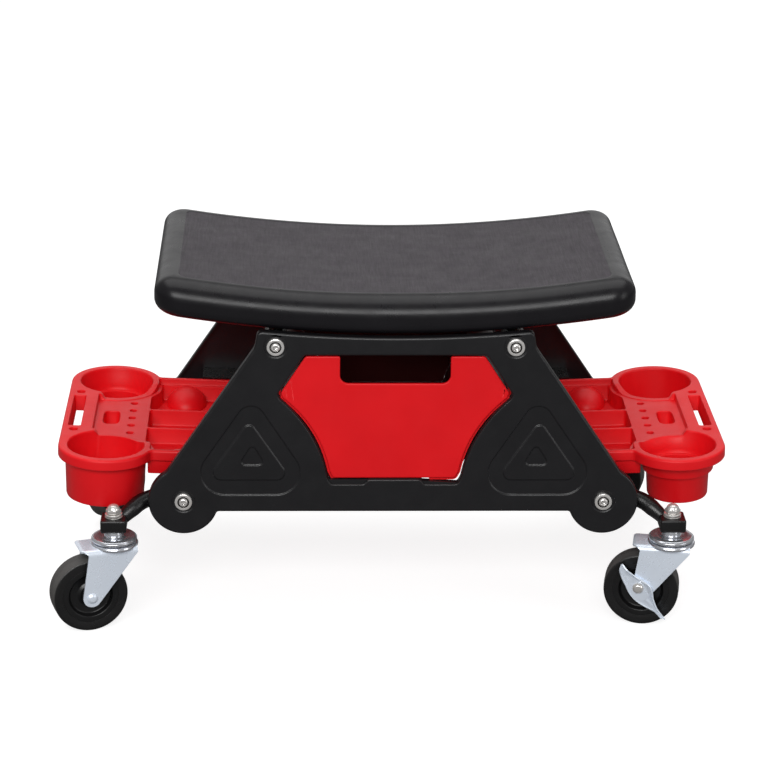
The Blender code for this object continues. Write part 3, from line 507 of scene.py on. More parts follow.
def metal(name, colour, deep, roughness, scale, depth, scratches=0.5, **more):
    """Plated steel: mottled plating, faint brushed lines and rub marks."""
    made, net, shader = new_material(name, **more)
    surface = put(net, GRAIN, Scale=scale, Depth=0.5)
    marks = put(net, SCRATCH, Scale=90.0, Amount=scratches)
    mixed = net.blend(surface["Shade"], deep, colour)
    worn = net.blend(marks["Mask"], mixed, deep)
    net.join(worn, shader.inputs["Base Color"])
    rough = net.maths("ADD", surface["Roughness Shift"], roughness)
    net.join(net.maths("ADD", rough, net.maths("MULTIPLY", marks["Mask"], 0.2)), shader.inputs["Roughness"])
    bump(net, shader, net.maths("ADD", surface["Height"], marks["Height"]), depth)
    return made


def foam_material():
    """Moulded foam skin: smooth dark border, and a greyer top with a fine ribbed grain."""
    made, net, shader = new_material("seat_foam_skin", Specular_IOR_Level=0.28)
    here = net.add("ShaderNodeTexCoord").outputs["Object"]
    half = SEAT_HALF - PANEL_STEP_IN
    top = put(net, TOP_PANEL, **{"Half X": half[0], "Half Y": half[1], "Radius": 0.010})["Mask"]
    rib = net.noise(here, 620.0, detail=2.0, stretch=(1.0, 0.07, 1.0))
    cell = net.noise(here, 1500.0, detail=2.0)
    cloth = net.maths("ADD", net.maths("MULTIPLY", rib, 0.7), net.maths("MULTIPLY", cell, 0.3))
    skin = put(net, GRAIN, Scale=1100.0, Depth=0.25)
    border = net.blend(skin["Shade"], (0.0060, 0.0054, 0.0068), (0.0078, 0.0071, 0.0088))
    light = net.blend(net.span(cloth, 0.35, 0.65), (0.0215, 0.0176, 0.0222), (0.0490, 0.0395, 0.0500))
    wide = net.noise(here, 9.0, detail=2.0)
    light = net.blend(net.span(wide, 0.3, 0.7, 0.0, 0.35), light, (0.0265, 0.0218, 0.0272))
    mixed = net.blend(top, border, light)
    base_colour = net.blend(put(net, DUST, Amount=0.05)["Mask"], mixed, (0.20, 0.19, 0.19))
    net.join(base_colour, shader.inputs["Base Color"])
    rough = net.maths("ADD", net.maths("MULTIPLY", top, 0.22), 0.30)
    net.join(net.maths("ADD", rough, skin["Roughness Shift"]), shader.inputs["Roughness"])
    ribs = net.maths("MULTIPLY", cloth, top)
    bump(net, shader, net.maths("ADD", ribs, skin["Height"]), 0.00022, 0.8)
    return made


def plywood_material():
    """Plywood: long wavy grain along X in two browns."""
    made, net, shader = new_material("seat_board_plywood", Roughness=0.75)
    here = net.add("ShaderNodeTexCoord").outputs["Object"]
    grain = net.noise(here, 90.0, detail=6.0, stretch=(0.08, 1.0, 1.0))
    colour = net.blend(net.span(grain, 0.3, 0.7), (0.16, 0.10, 0.06), (0.30, 0.20, 0.12))
    net.join(colour, shader.inputs["Base Color"])
    bump(net, shader, grain, 0.0003)
    return made


def rubber_material():
    """Solid tyre: dark body, a dusty greyer tread where the radius is greatest."""
    made, net, shader = new_material("tyre_rubber_skin")
    surface = put(net, GRAIN, Scale=1300.0, Depth=1.0)
    tread = net.add("ShaderNodeAttribute", Attribute_Name="tread").outputs["Fac"]
    grey = net.blend(surface["Shade"], (0.055, 0.052, 0.050), (0.100, 0.096, 0.092))
    dark = net.blend(surface["Shade"], (0.0060, 0.0058, 0.0060), (0.0085, 0.0082, 0.0085))
    net.join(net.blend(tread, dark, grey), shader.inputs["Base Color"])
    rough = net.maths("ADD", net.maths("MULTIPLY", tread, 0.35), 0.30)
    net.join(net.maths("ADD", rough, surface["Roughness Shift"]), shader.inputs["Roughness"])
    bump(net, shader, surface["Height"], 0.0002)
    return made


BLACK = plastic("panel_black_plastic", (0.0070, 0.0067, 0.0080), (0.0057, 0.0054, 0.0065), 0.33,
                1400.0, 0.00010, 0.03, (0.10, 0.095, 0.10))
# The inside colour is painted shade: a near-black red on the drawer bin's inner faces and the neck behind its
# front plate, in place of shadow.
RED = plastic("red_moulded_plastic", (0.80, 0.0060, 0.0105), (0.74, 0.0048, 0.0090), 0.42,
              1600.0, 0.00008, 0.02, (0.75, 0.06, 0.07), scratches=0.03, inside=(0.07, 0.001, 0.0012),
              Specular_IOR_Level=0.3)
WHEEL = plastic("wheel_black_plastic", (0.0060, 0.0059, 0.0062), (0.0046, 0.0045, 0.0048), 0.30,
                1300.0, 0.00008, 0.03, (0.08, 0.08, 0.08))
COAT = plastic("black_powder_coat", (0.0060, 0.0058, 0.0062), (0.0045, 0.0043, 0.0047), 0.26,
               2200.0, 0.00012, 0.02, (0.09, 0.085, 0.085))
ZINC = metal("zinc_plate", (0.83, 0.90, 1.0), (0.79, 0.86, 0.96), 0.26, 500.0, 0.00002, scratches=0.12,
             Metallic=0.30)
BRIGHT_ZINC = metal("bright_zinc_plate", (0.80, 0.82, 0.87), (0.66, 0.68, 0.73), 0.20, 500.0, 0.00005,
                    scratches=0.2, Metallic=0.88)
WARM_ZINC = metal("warm_zinc_plate", (0.90, 0.88, 0.86), (0.80, 0.77, 0.74), 0.20, 700.0, 0.00006,
                  scratches=0.3, Metallic=0.70)
# Painted shade: a dark steel laid on the bolts' head groove and hex socket walls in place of the shade in those
# recesses.
PAINTED_SHADE_STEEL = metal("painted_shade_steel", (0.10, 0.095, 0.09), (0.06, 0.055, 0.055), 0.35, 700.0, 0.00006,
                   Metallic=1.0)
FOAM = foam_material()
PLYWOOD = plywood_material()
RUBBER = rubber_material()


# Seat


def seat_directions(along=96, across=44, turn=16):
    """Corner signs C and unit turns U of a rounded rectangle, so that a point of the outline with
    half sizes h and corner radius r is C (h - r) + U r."""
    g = np.linspace(-1, 1, along + 1)[1:-1]
    f = np.linspace(-1, 1, across + 1)[1:-1]
    t = np.linspace(0, math.pi / 2, turn)
    c, s, one, nil = np.cos(t), np.sin(t), np.ones_like, np.zeros_like
    runs = [
        ((one(f), f), (one(f), nil(f))),
        ((one(t), one(t)), (c, s)),
        ((-g, one(g)), (nil(g), one(g))),
        ((-one(t), one(t)), (-s, c)),
        ((-one(f), -f), (-one(f), nil(f))),
        ((-one(t), -one(t)), (-c, -s)),
        ((g, -one(g)), (nil(g), -one(g))),
        ((one(t), -one(t)), (s, -c)),
    ]
    signs = np.vstack([np.column_stack(r[0]) for r in runs])
    turns = np.vstack([np.column_stack(r[1]) for r in runs])
    return signs, turns


def make_seat():
    """Rings of the rounded rectangle drawn in by s at height h above the underside, for (s, h) down
    the edge's profile, closed on a line at both ends; then z is lifted by SADDLE x^2."""
    recess, top_height = 0.0097, 0.0366
    lower = rounded([(0.0296, recess, 0), (0.0288, 0.0096, 0.0006), (0.0284, 0.0, 0.0015),
                     (0, 0, 0.0110), (0, 0.0150, 0)], closed=False, step=math.radians(6))
    roll = through([(0, 0.0150), (0.0002, 0.0195), (0.0014, 0.0240), (0.0042, 0.0286),
                    (0.0082, 0.0323), (0.0132, 0.0351), (0.0185, 0.0367), (0.0220, 0.0371)], 36)[1:]
    rim = rounded([(0.0220, 0.0371, 0), (0.0235, 0.0371, 0.0006), (0.0241, top_height, 0.0006),
                   (0.0290, top_height, 0)], closed=False, step=math.radians(12))[1:]
    edge = np.vstack([lower, roll, rim])
    depth = SEAT_HALF[1]
    inner = np.linspace(0.031, depth, 30)
    below = np.column_stack([inner[::-3], np.full(len(inner[::-3]), recess)])
    above = np.column_stack([inner, np.full(len(inner), top_height)])
    profile = np.vstack([below, edge, above])
    step_in, height = profile[:, 0], profile[:, 1]
    radius = np.minimum(np.maximum(SEAT_CORNER - step_in, 0.010), 0.5 * (depth - step_in))
    signs, turns = seat_directions()
    half = SEAT_HALF - step_in[:, None]
    flat = signs * (half - radius[:, None])[:, None] + turns * radius[:, None, None]
    x, y = flat[..., 0], flat[..., 1]
    swell = 0.00025 * np.sin(x * 31 + 1.3) * np.sin(y * 47 + 0.4) * (height > 0.02)[:, None]
    z = SEAT_UNDERSIDE + height[:, None] + SADDLE * x * x + swell
    faces = grid_faces(len(profile), len(signs), wrap_columns=True)
    seat = make_piece("seat_foam", np.stack([x, y, z], -1), faces, FOAM, "chassis",
                      ["seat_cushion"], sharp=60)


# Side panels


def panel_outline():
    """Two round lobes on the lower bolts, slopes up to the top corners and a saddle-shaped top."""
    up = unit(np.array([-SLOPE_RUN_PER_RISE, 1.0]))
    out = np.array([up[1], -up[0]])
    off = (SLOPE_TOP - LOWER_BOLT) @ out
    meet = LOWER_BOLT + out * off + up * math.sqrt(LOBE_RADIUS**2 - off**2)
    start = math.degrees(math.asin((PANEL_BOTTOM - LOWER_BOLT[1]) / LOBE_RADIUS))
    rel = meet - LOWER_BOLT
    lobe = arc(LOWER_BOLT, LOBE_RADIUS, -180 - start, math.degrees(math.atan2(rel[1], rel[0])), 60)
    corner = np.array([PANEL_TOP_CORNER, PANEL_TOP + SADDLE * PANEL_TOP_CORNER**2])
    neck = rounded([(*meet, 0), (*SLOPE_TOP, 0.014), (*corner, 0.005), (0, corner[1] - 0.012, 0)])[1:-1]
    x = np.linspace(0.92, 0.02, 24) * PANEL_TOP_CORNER
    half = np.vstack([lobe, neck, np.column_stack([x, PANEL_TOP + SADDLE * x * x])])
    return softened(np.vstack([half, mirrored(half)]), 0.004)


def window_half(foot_height, gap=0.0):
    """Right side of the window from its foot up, its lower side bowed in by a parabola."""
    foot = (WINDOW_FOOT[0] - gap, foot_height)
    start = np.array([WINDOW_FOOT[0] + 0.0035 - gap, foot_height + 0.007])
    point = WINDOW_POINT - (gap * 1.3, 0)
    end = point - (0.002, 0.004)
    t = np.linspace(0, 1, 24)[:, None]
    chord = end - start
    side = start + chord * t + unit(np.array([-chord[1], chord[0]])) * 4 * 0.0083 * t * (1 - t)
    top = WINDOW_TOP - (gap * 0.6, gap)
    foot_turn = rounded([(0, foot_height, 0), (*foot, 0.004), (*start, 0)], closed=False)[1:-1]
    upper = rounded([(*end, 0), (point[0], point[1] + 0.001, 0.003), (*top, 0.0025), (0, top[1], 0)],
                    closed=False)[1:-1]
    return np.vstack([foot_turn, side, upper])


def window_outline():
    half = window_half(WINDOW_FOOT[1])
    lip = np.array([(0.026, LIP_TOP), (0.030, WINDOW_FOOT[1])])
    return softened(np.vstack([lip, half, mirrored(half), mirrored(lip)]), 0.0015, 0.001)


def window_opening(window):
    """The part of the window that goes right through: a little inside it, with a raised foot that
    sinks towards the right."""
    raised_foot, sink = 0.1512, 0.057
    opening = inset(window, 0.0006)
    foot = raised_foot - sink * np.maximum(opening[:, 0], 0)
    opening[:, 1] = np.maximum(opening[:, 1], foot)
    apart = np.linalg.norm(opening - np.roll(opening, 1, 0), axis=1) > 4e-4
    return opening[apart]


TRIANGLES = (
    ((0.0735, 0.135, 0.024), (0.2135, 0.135, 0.024), (0.142, 0.241, 0.014)),
    ((0.102, 0.151, 0.008), (0.187, 0.151, 0.008), (0.144, 0.214, 0.006)),
    ((0.128, 0.167, 0.004), (0.155, 0.167, 0.004), (0.141, 0.190, 0.004)),
)
BOLTS = [(level, end, np.array([sign * at[0], at[1]]))
         for level, at in (("lower", LOWER_BOLT), ("upper", UPPER_BOLT))
         for end, sign in (("left", -1), ("right", 1))]


def eased(reach, depth, steps=7):
    """(step, height) pairs of a soft slope: height = depth (1 - cos(pi t)) / 2 over t = 0..1."""
    t = np.linspace(0, 1, steps)
    return [(reach * (a - 0.5), depth * (1 - math.cos(math.pi * a)) / 2) for a in t]


def rounding(radius, steps=6):
    """(step in, height) pairs of a quarter round from the face, height 0, to the side."""
    a = np.linspace(0, math.pi / 2, steps)
    return [(radius * (1 - math.sin(t)), -radius * (1 - math.cos(t))) for t in a]


def panel_skin():
    """A pressed panel in (x, z, height above the face): flanged edge, window, bolt seats and
    nested triangles, each an outline carried down a small profile."""
    skin = Skin()
    outer, window = panel_outline(), window_outline()
    back = -PANEL_SKIN
    edge = rounding(0.0022, 7)
    skin.wall(outer, [(0.0034, 0.0)] + edge + [(0.0, -PANEL_FLANGE + 0.0006), (0.0006, -PANEL_FLANGE),
                                             (0.0022, -PANEL_FLANGE), (0.0028, back)])
    rim = [(-s, h) for s, h in rounding(0.0012, 5)]
    opening = window_opening(window)
    skin.wall(window, [(-0.0022, 0.0)] + rim + [(0.0, WINDOW_LEDGE)])
    skin.flat(WINDOW_LEDGE, window, opening)
    skin.wall(opening, [(0.0, WINDOW_LEDGE), (0.0, -0.0090), (-0.0004, WINDOW_FLANGE),
                        (-0.0014, WINDOW_FLANGE), (-0.0016, back)])
    face_loops = [inset(outer, 0.0034), inset(window, -0.0022)]
    back_loops = [inset(outer, 0.0028), inset(opening, -0.0016)]
    for flip in (False, True):
        shapes = [rounded(t, step=math.radians(5)) for t in TRIANGLES]
        shapes = [mirrored(s) if flip else s for s in shapes]
        slope = eased(0.0018, -PRESSED_DEPTH)
        for index, shape in enumerate(shapes):
            steps = slope if index != 1 else [(s, -PRESSED_DEPTH - h) for s, h in slope]
            skin.wall(shape, [(steps[0][0] - 0.0006, steps[0][1])] + steps
                      + [(steps[-1][0] + 0.0006, steps[-1][1])])
        low, high = -0.0015, 0.0015
        face_loops.append(inset(shapes[0], low))
        skin.flat(-PRESSED_DEPTH, inset(shapes[0], high), inset(shapes[1], low))
        skin.flat(0.0, inset(shapes[1], high), inset(shapes[2], low))
        skin.flat(-PRESSED_DEPTH, inset(shapes[2], high))
    for _, _, place in BOLTS:
        seat, sunk = ring(place, 0.0115), -0.0007
        slope = eased(0.0012, sunk, 5)
        skin.wall(seat, [(-0.0010, 0.0)] + slope + [(0.0010, sunk)])
        bore = ring(place, 0.0044, 32)
        skin.wall(bore, [(0.0, sunk), (0.0, back)])
        skin.flat(sunk, inset(seat, 0.0010), bore)
        face_loops.append(inset(seat, -0.0010))
        back_loops.append(bore)
    skin.flat(0.0, *face_loops)
    skin.flat(back, *back_loops)
    return skin


def make_panels():
    skin = panel_skin()
    x, z, height = skin.all_points().T
    for face, side in FACES:
        points = np.column_stack([x, side * (PANEL_FACE + height), z])
        make_piece(f"{face}_panel_moulding", points, skin.faces, BLACK, "chassis",
                   [f"{face}_panel"], sharp=32)


# Bolts


def make_tie_bolts():
    """Flanged sleeve with a button head in it: radius and height along a turned profile, whose
    inner part turns from a round dome to a six-sided socket r = a / cos(t mod 60)."""
    steps = 72
    t = np.arange(steps) * 2 * math.pi / steps
    hexagon = 1 / np.cos((t + math.pi / 6) % (math.pi / 3) - math.pi / 6)
    rows = [(0.0, 0.0016, 0), (0.0015, 0.0017, 0.6), (0.0020, 0.0020, 1), (0.0021, 0.0036, 1),
            (0.0023, 0.0039, 0.8), (0.0027, 0.0041, 0.2), (0.0034, 0.0039, 0), (0.0040, 0.0034, 0),
            (0.0044, 0.0026, 0), (0.0046, 0.0018, 0), (0.0046, 0.0002, 0), (0.0058, 0.0002, 0),
            (0.0058, 0.0022, 0), (0.0060, 0.0025, 0), (0.0064, 0.0026, 0), (0.0078, 0.0026, 0),
            (0.0084, 0.0023, 0), (0.0087, 0.0018, 0), (0.0087, -0.0006, 0), (0.0041, -0.0006, 0),
            (0.0040, -0.0236, 0), (0.0, -0.0240, 0)]
    r, h, share = np.array(rows).T[:, :, None]
    radius = r * (1 + share * (hexagon - 1))
    points = np.stack([radius * np.cos(t), radius * np.sin(t), np.repeat(h, steps, 1)], -1).reshape(-1, 3)
    faces = grid_faces(len(rows), steps, wrap_columns=True)
    for level, end, place in BOLTS:
        for face, side in FACES:
            body = np.column_stack([points[:, 0] + place[0], side * (PANEL_FACE + points[:, 2]),
                                    points[:, 1] + place[1]])
            bolt = make_piece(f"{face}_{level}_button_bolt_{end}", body, faces, WARM_ZINC, "chassis",
                              [f"{face}_{level}_bolt_{end}"], sharp=30)
            # The groove round the button head and the walls of its hex socket take the dark steel: painted
            # shade in those recesses.
            bolt.data.materials.append(PAINTED_SHADE_STEEL)
            centres = np.array([p.center for p in bolt.data.polygons])
            reach = np.hypot(centres[:, 0] - place[0], centres[:, 2] - place[1])
            stand = side * centres[:, 1] - PANEL_FACE
            dark = (reach > 0.00455) & (reach < 0.00585) & (stand < 0.0020)
            dark |= (reach > 0.0017) & (reach < 0.0023) & (stand > 0.0019) & (stand < 0.0037)
            bolt.data.polygons.foreach_set("material_index", dark.astype(np.int32))


# Drawer


def wall_section(line, thickness):
    """Closed outline of a thin wall: a line, and the same line moved to its left by its normal."""
    along = unit(np.gradient(line, axis=0))
    moved = line - np.column_stack([along[:, 1], -along[:, 0]]) * thickness
    shape = np.vstack([line, moved[::-1]])
    area = (shape[:, 0] * np.roll(shape[:, 1], -1) - np.roll(shape[:, 0], -1) * shape[:, 1]).sum()
    return shape if area > 0 else shape[::-1]


def mark_painted_shade(drawer):
    """Marks for painted shade the faces of the bin that look in at its middle, n . (middle - place) > 0,
    and the short neck behind the front plate, which take a near-black red in place of shadow."""
    faces = drawer.data.polygons
    centre = np.array([f.center for f in faces])
    normal = np.array([f.normal for f in faces])
    towards = np.array([0.0, 0.0, 0.255]) - centre
    inward = (normal * towards).sum(1) > 0.01
    behind = centre[:, 1] + DRAWER_FRONT
    within = (behind > 0.0022) & (centre[:, 1] < DRAWER_FRONT - 0.0010)
    # Painted shade band: the neck's faces 3 to 10 mm behind the front plate, dark in place of the shadow in the
    # gap round the drawer.
    neck = (behind > 0.0031) & (behind < 0.0100)
    mark = drawer.data.attributes.new("inside", "FLOAT", "FACE")
    mark.data.foreach_set("value", ((inward & within) | neck).astype(np.float32))


def make_drawer():
    """Front plate with a notched outline, and a bin whose U-shaped section runs to the back. A
    short neck joins them; the floor is raised over the lip of the panel's window."""
    half = window_half(LIP_TOP + 0.0006, DRAWER_GAP)
    top, notch_half, notch_foot = half[-1, 1], 0.0545, 0.252
    notch = rounded([(notch_half, top, 0), (notch_half, notch_foot, 0.008), (0, notch_foot, 0)],
                    closed=False)[:-1]
    lead = rounded([(0.07, top, 0), (notch_half, top, 0.0015), (notch_half, 0.26, 0)],
                   closed=False)[1:-1]
    right = np.vstack([half, lead, notch[1:]])
    outline = softened(np.vstack([right, mirrored(right)]), 0.0012, 0.0009)
    skin = Skin()
    edge = rounding(0.0013, 6)
    skin.wall(outline, [(0.0024, 0.0)] + edge + [(0.0, -0.0027), (0.0004, -DRAWER_PLATE)])
    skin.flat(0.0, inset(outline, 0.0024))
    skin.flat(-DRAWER_PLATE, inset(outline, 0.0004))
    section = half[half[:, 1] < DRAWER_BIN_TOP - 0.004]
    rim = np.array([(section[-1, 0] - 0.0010, DRAWER_BIN_TOP)])
    outer = np.vstack([[(0.0335, DRAWER_FLOOR), (0.0370, section[0, 1])], section, rim])
    clear = np.clip((outer[:, 1] - 0.166) / 0.010, 0, 1)
    low = 1 - np.clip((outer[:, 1] - 0.208) / 0.016, 0, 1)
    step_in = 0.0004
    wide, narrow = (outer + np.column_stack([share - step_in, 0 * share])
                    for share in (0.0024 * low, 0.0022 * clear * low))
    narrow = np.maximum(narrow, (-1.0, DRAWER_FLOOR))
    close = outer - (step_in, 0)
    neck = np.vstack([mirrored(close), close])[::-1]
    section = np.vstack([mirrored(wide), narrow])
    back = -2 * DRAWER_FRONT + 0.0002
    for line, levels in ((neck, (-0.0026, -0.0056)), (section[::-1], (-0.0052, -0.0120, back + 0.0004))):
        shape = wall_section(line, DRAWER_WALL)
        skin.wall(shape, [(0.0, level) for level in levels])
        skin.flat(levels[0], shape)
        skin.flat(levels[-1], shape)
    section = section[np.linalg.norm(section - np.roll(section, 1, 0), axis=1) > 1e-5]
    back_plate = inset(section, step_in)
    faces_at = (back + DRAWER_PLATE, back)
    skin.wall(back_plate, [(0.0, level) for level in faces_at])
    for level in faces_at:
        skin.flat(level, back_plate)
    x, z, height = skin.all_points().T
    points = np.column_stack([x, -DRAWER_FRONT - height, z])
    drawer = make_piece("drawer_moulding", points, skin.faces, RED, "drawer", ["drawer"],
                        sharp=34)
    mark_painted_shade(drawer)


# Trays


def tray_outline():
    """Plan of the rim: arcs about both cups, a straight outer edge and straight sides inwards."""
    lip = TRAY_OUTER - CUP[0]
    last = 180 - math.degrees(math.asin((TRAY_HALF_WIDTH - CUP[1]) / lip))
    upper = np.vstack([arc(CUP, lip, 0, last, 50), [(TRAY_INNER, TRAY_HALF_WIDTH)]])
    return softened(np.vstack([upper, (upper * (1, -1))[::-1]]), 0.007)


def plate_outline():
    """Edge of the sunken part: straight sides, arcs about the cups' lips and the slotted bar."""
    lip, inner, half, bar = 0.0452, 0.0862, 0.1038, 0.3055
    meet = CUP[0] - math.sqrt(lip**2 - (half - CUP[1])**2)
    start = math.degrees(math.atan2(half - CUP[1], meet - CUP[0]))
    end = 360 - math.degrees(math.acos((bar - CUP[0]) / lip))
    upper = np.vstack([arc(CUP, lip, end, start, 40), [(inner + 0.004, half), (inner, half - 0.004)]])
    return softened(np.vstack([upper, (upper * (1, -1))[::-1]]), 0.006)


def cup_walls(skin, centre, stepped):
    """A cup: its mouth, wall and floor inside, its body and bottom outside."""
    mouth = ring(centre, CUP_RADIUS, 96)
    lip = [(-s, TRAY_RIM + h) for s, h in rounding(0.0020, 6)]
    bottom = CUP_BOTTOM
    if stepped:
        ledge = TRAY_RIM - 0.023
        steps = [(0.0020, TRAY_RIM - 0.009), (0.0036, TRAY_RIM - 0.015), (0.0043, TRAY_RIM - 0.019),
                 (0.0046, ledge + 0.001), (0.0052, ledge), (0.0078, ledge - 0.0002), (0.0086, ledge - 0.001),
                 (0.0098, bottom + 0.003), (0.0104, bottom + 0.0012), (0.0122, bottom)]
    else:
        steps = [(0.0016, bottom + 0.0032), (0.0022, bottom + 0.0012), (0.0040, bottom)]
    skin.wall(mouth, [(-0.0028, TRAY_RIM)] + lip + steps)
    skin.flat(bottom, inset(mouth, steps[-1][0]))
    under = bottom - 0.002
    if stepped:
        band = TRAY_RIM - 0.025
        body = [(0.0376, TRAY_LIP), (0.0366, TRAY_LIP - 0.0015), (0.0363, TRAY_LIP - 0.004),
                (0.0362, band + 0.001), (0.0356, band), (0.0326, band - 0.0006),
                (0.0319, band - 0.0016), (0.0308, under + 0.0025), (0.0300, under + 0.0008),
                (0.0285, under)]
    else:
        body = [(0.0421, TRAY_LIP), (0.0410, TRAY_LIP - 0.0012), (0.0407, TRAY_LIP - 0.003),
                (0.0393, under + 0.0030), (0.0386, under + 0.0010), (0.0368, under)]
    outer = ring(centre, body[0][0], 96)
    skin.wall(outer, [(body[0][0] - r, h) for r, h in body])
    skin.flat(under, inset(outer, body[0][0] - body[-1][0]))
    return inset(mouth, -0.0028), outer


def tray_hump():
    """Half of a stretched ball against a side wall: x and z of an ellipsoid, y held at the wall."""
    theta = np.linspace(0, math.pi / 2, 24)
    phi = np.linspace(0, 2 * math.pi, 64, endpoint=False)
    reach = TRAY_HALF_WIDTH - 0.0055
    r, h = np.sin(theta)[:, None], np.cos(theta)[:, None]
    x = 0.214 + 0.0212 * r * np.cos(phi)
    y = np.minimum(reach - 0.0105 + 0.0272 * r * np.sin(phi), reach + 0.0006)
    z = TRAY_FLOOR + 0.0021 + 0.0182 * np.repeat(h, len(phi), 1)
    return np.stack([x, y, z], -1), grid_faces(len(theta), len(phi), wrap_columns=True)


def beside_cup(inner, outer, low, high, clear):
    """A box in plan whose outer end gives way to a circle about the cup."""
    first = 180 + math.degrees(math.acos((CUP[0] - outer) / clear))
    last = 180 - math.degrees(math.asin((high - CUP[1]) / clear))
    return np.vstack([[(inner, low), (outer, low)], arc(CUP, clear, first, last, 24), [(inner, high)]])


def tray_skin():
    """The whole tray in (x, y, z), level and for the right side."""
    skin = Skin()
    rim, plate = tray_outline(), plate_outline()
    fascia = [(s, TRAY_RIM + h) for s, h in rounding(0.0026, 7)]
    skin.wall(rim, [(0.0036, TRAY_RIM)] + fascia + [(0.0, TRAY_LIP + 0.0008), (0.0006, TRAY_LIP),
                                                    (0.0026, TRAY_LIP)])
    top_loops = [inset(rim, 0.0036)]
    under_loops = [inset(rim, 0.0026)]
    for centre, stepped in ((CUP, False), (CUP * (1, -1), True)):
        mouth, body = cup_walls(skin, centre, stepped)
        top_loops.append(mouth)
        under_loops.append(body)
    drop = [(-s, TRAY_RIM + h) for s, h in rounding(0.0014, 5)]
    toe = [(0.0002, TRAY_PLATE + 0.0014), (0.0006, TRAY_PLATE + 0.0004), (0.0016, TRAY_PLATE)]
    skin.wall(plate, [(-0.0022, TRAY_RIM)] + drop + toe)
    top_loops.append(inset(plate, -0.0022))
    plate_loops = [inset(plate, 0.0016)]

    def hole(loop, mouth_height, radius, floor, through=True, taper=0.0):
        """An opening with a rounded mouth, down to a floor or right through."""
        lip = [(-s, mouth_height + h) for s, h in rounding(radius, 5)]
        closed_foot = [(0.0004, floor + 0.002), (0.001, floor + 0.0006), (0.0024, floor)]
        foot = [(taper, floor)] if through else closed_foot
        skin.wall(loop, [(-radius - 0.0004, mouth_height)] + lip + foot)
        if not through:
            skin.flat(floor, inset(loop, 0.0024))
        return inset(loop, -radius - 0.0004)

    slot = box_outline((0.3181, -0.044), (0.3309, 0.044), 0.0025)
    slot_foot, slot_taper = TRAY_LIP - 0.0055, 0.0024
    top_loops.append(hole(slot, TRAY_RIM, 0.0011, slot_foot, taper=slot_taper))
    collar = box_outline((0.3159, -0.0463), (0.3331, 0.0463), 0.0045)
    skin.wall(collar, [(0.0, TRAY_LIP), (0.0, slot_foot)])
    skin.flat(slot_foot, collar, inset(slot, slot_taper))
    under_loops.append(collar)
    for side in (-1, 1):
        end_hole = ring((0.3245, side * 0.055), 0.0045, 40)
        top_loops.append(hole(end_hole, TRAY_RIM, 0.0009, TRAY_LIP))
        under_loops.append(end_hole)
    for index in range(-2, 3):
        tool_hole = ring((0.2675, index * 0.0215), 0.0038, 36)
        plate_loops.append(hole(tool_hole, TRAY_PLATE, 0.0008, TRAY_LIP))
        under_loops.append(tool_hole)
    a = np.radians(np.arange(0, 360, 5))
    barrel = np.column_stack([0.289 + 0.0085 * np.sign(np.cos(a)) * np.abs(np.cos(a)) ** 0.45,
                              0.0185 * np.sign(np.sin(a)) * np.abs(np.sin(a)) ** 0.55])
    barrel = softened(barrel, 0.002, 0.0012)
    plate_loops.append(hole(barrel, TRAY_PLATE, 0.0012, TRAY_PLATE - 0.017, False))
    case = box_outline((0.2783, -0.0207), (0.2997, 0.0207), 0.004)
    case_foot = TRAY_PLATE - 0.0190
    skin.wall(case, [(0.0, TRAY_LIP), (0.0008, case_foot)])
    skin.flat(case_foot, inset(case, 0.0008))
    under_loops.append(case)
    floor = TRAY_FLOOR + 0.0022
    edge = TRAY_HALF_WIDTH - 0.0056
    side_lane = softened(beside_cup(0.0876, 0.2505, 0.0277, edge - 0.001, 0.0487), 0.004, 0.001)
    middle_lane = box_outline((0.0876, -0.0253), (0.2505, 0.0253), 0.004)
    for lane in (side_lane, middle_lane, (side_lane * (1, -1))[::-1]):
        plate_loops.append(hole(lane, TRAY_PLATE, 0.0008, floor, False))
    skin.flat(TRAY_RIM, *top_loops)
    skin.flat(TRAY_PLATE, *plate_loops)
    upper = beside_cup(0.084, 0.2530, 0.0, 0.106, 0.0433)[1:]
    lower = beside_cup(0.084, 0.2530, 0.0, 0.106, 0.0394)[1:]
    body = softened(np.vstack([upper, (lower * (1, -1))[::-1]]), 0.005, 0.0012)
    skin.wall(body, [(-0.0006, TRAY_LIP), (0.0, TRAY_LIP - 0.0008), (0.0004, TRAY_FLOOR + 0.0018),
                     (0.0009, TRAY_FLOOR + 0.0005), (0.0022, TRAY_FLOOR)])
    skin.flat(TRAY_FLOOR, inset(body, 0.0022))
    under_loops.append(inset(body, -0.0006))
    skin.flat(TRAY_LIP, *under_loops)
    hump, hump_faces = tray_hump()
    skin.add(hump, hump_faces)
    skin.add(hump * (1, -1, 1), hump_faces[:, ::-1])
    return skin


def dip_rims(points):
    """Lowers the cups' rims to the plate on the sides that face it: height over the plate x
    (0.12 + 0.88 e), where e eases from 0 to 1 along the rim towards the slot and the far side."""
    x, y, z = points.T
    reach = np.hypot(x - CUP[0], np.abs(y) - CUP[1])
    ease = [np.clip(v, 0, 1) for v in ((x - 0.2985) / 0.0055, (np.abs(y) - 0.066) / 0.022)]
    ease = np.maximum(*(v * v * (3 - 2 * v) for v in ease))
    touched = (reach > 0.034) & (reach < 0.0490) & (z > TRAY_PLATE + 0.0001) & (np.abs(y) < CUP[1])
    lowered = TRAY_PLATE + (z - TRAY_PLATE) * (0.12 + 0.88 * ease)
    return np.column_stack([x, y, np.where(touched, lowered, z)])


def make_trays():
    """The level tray turned about its outer top edge by the tilt; the left one turned by half."""
    skin = tray_skin()
    pivot = np.array([TRAY_OUTER, 0, TRAY_RIM])
    c, s = math.cos(TRAY_TILT), math.sin(TRAY_TILT)
    x, y, z = (dip_rims(skin.all_points()) - pivot).T
    tilted = np.column_stack([x * c - z * s, y, x * s + z * c])
    for end, half_turn in (("right", 1), ("left", -1)):
        points = (tilted + pivot) * (half_turn, half_turn, 1)
        make_piece(f"tray_moulding_{end}", points, skin.faces, RED, f"tray_{end}",
                   [f"tray_{end}"], sharp=34)


# Casters


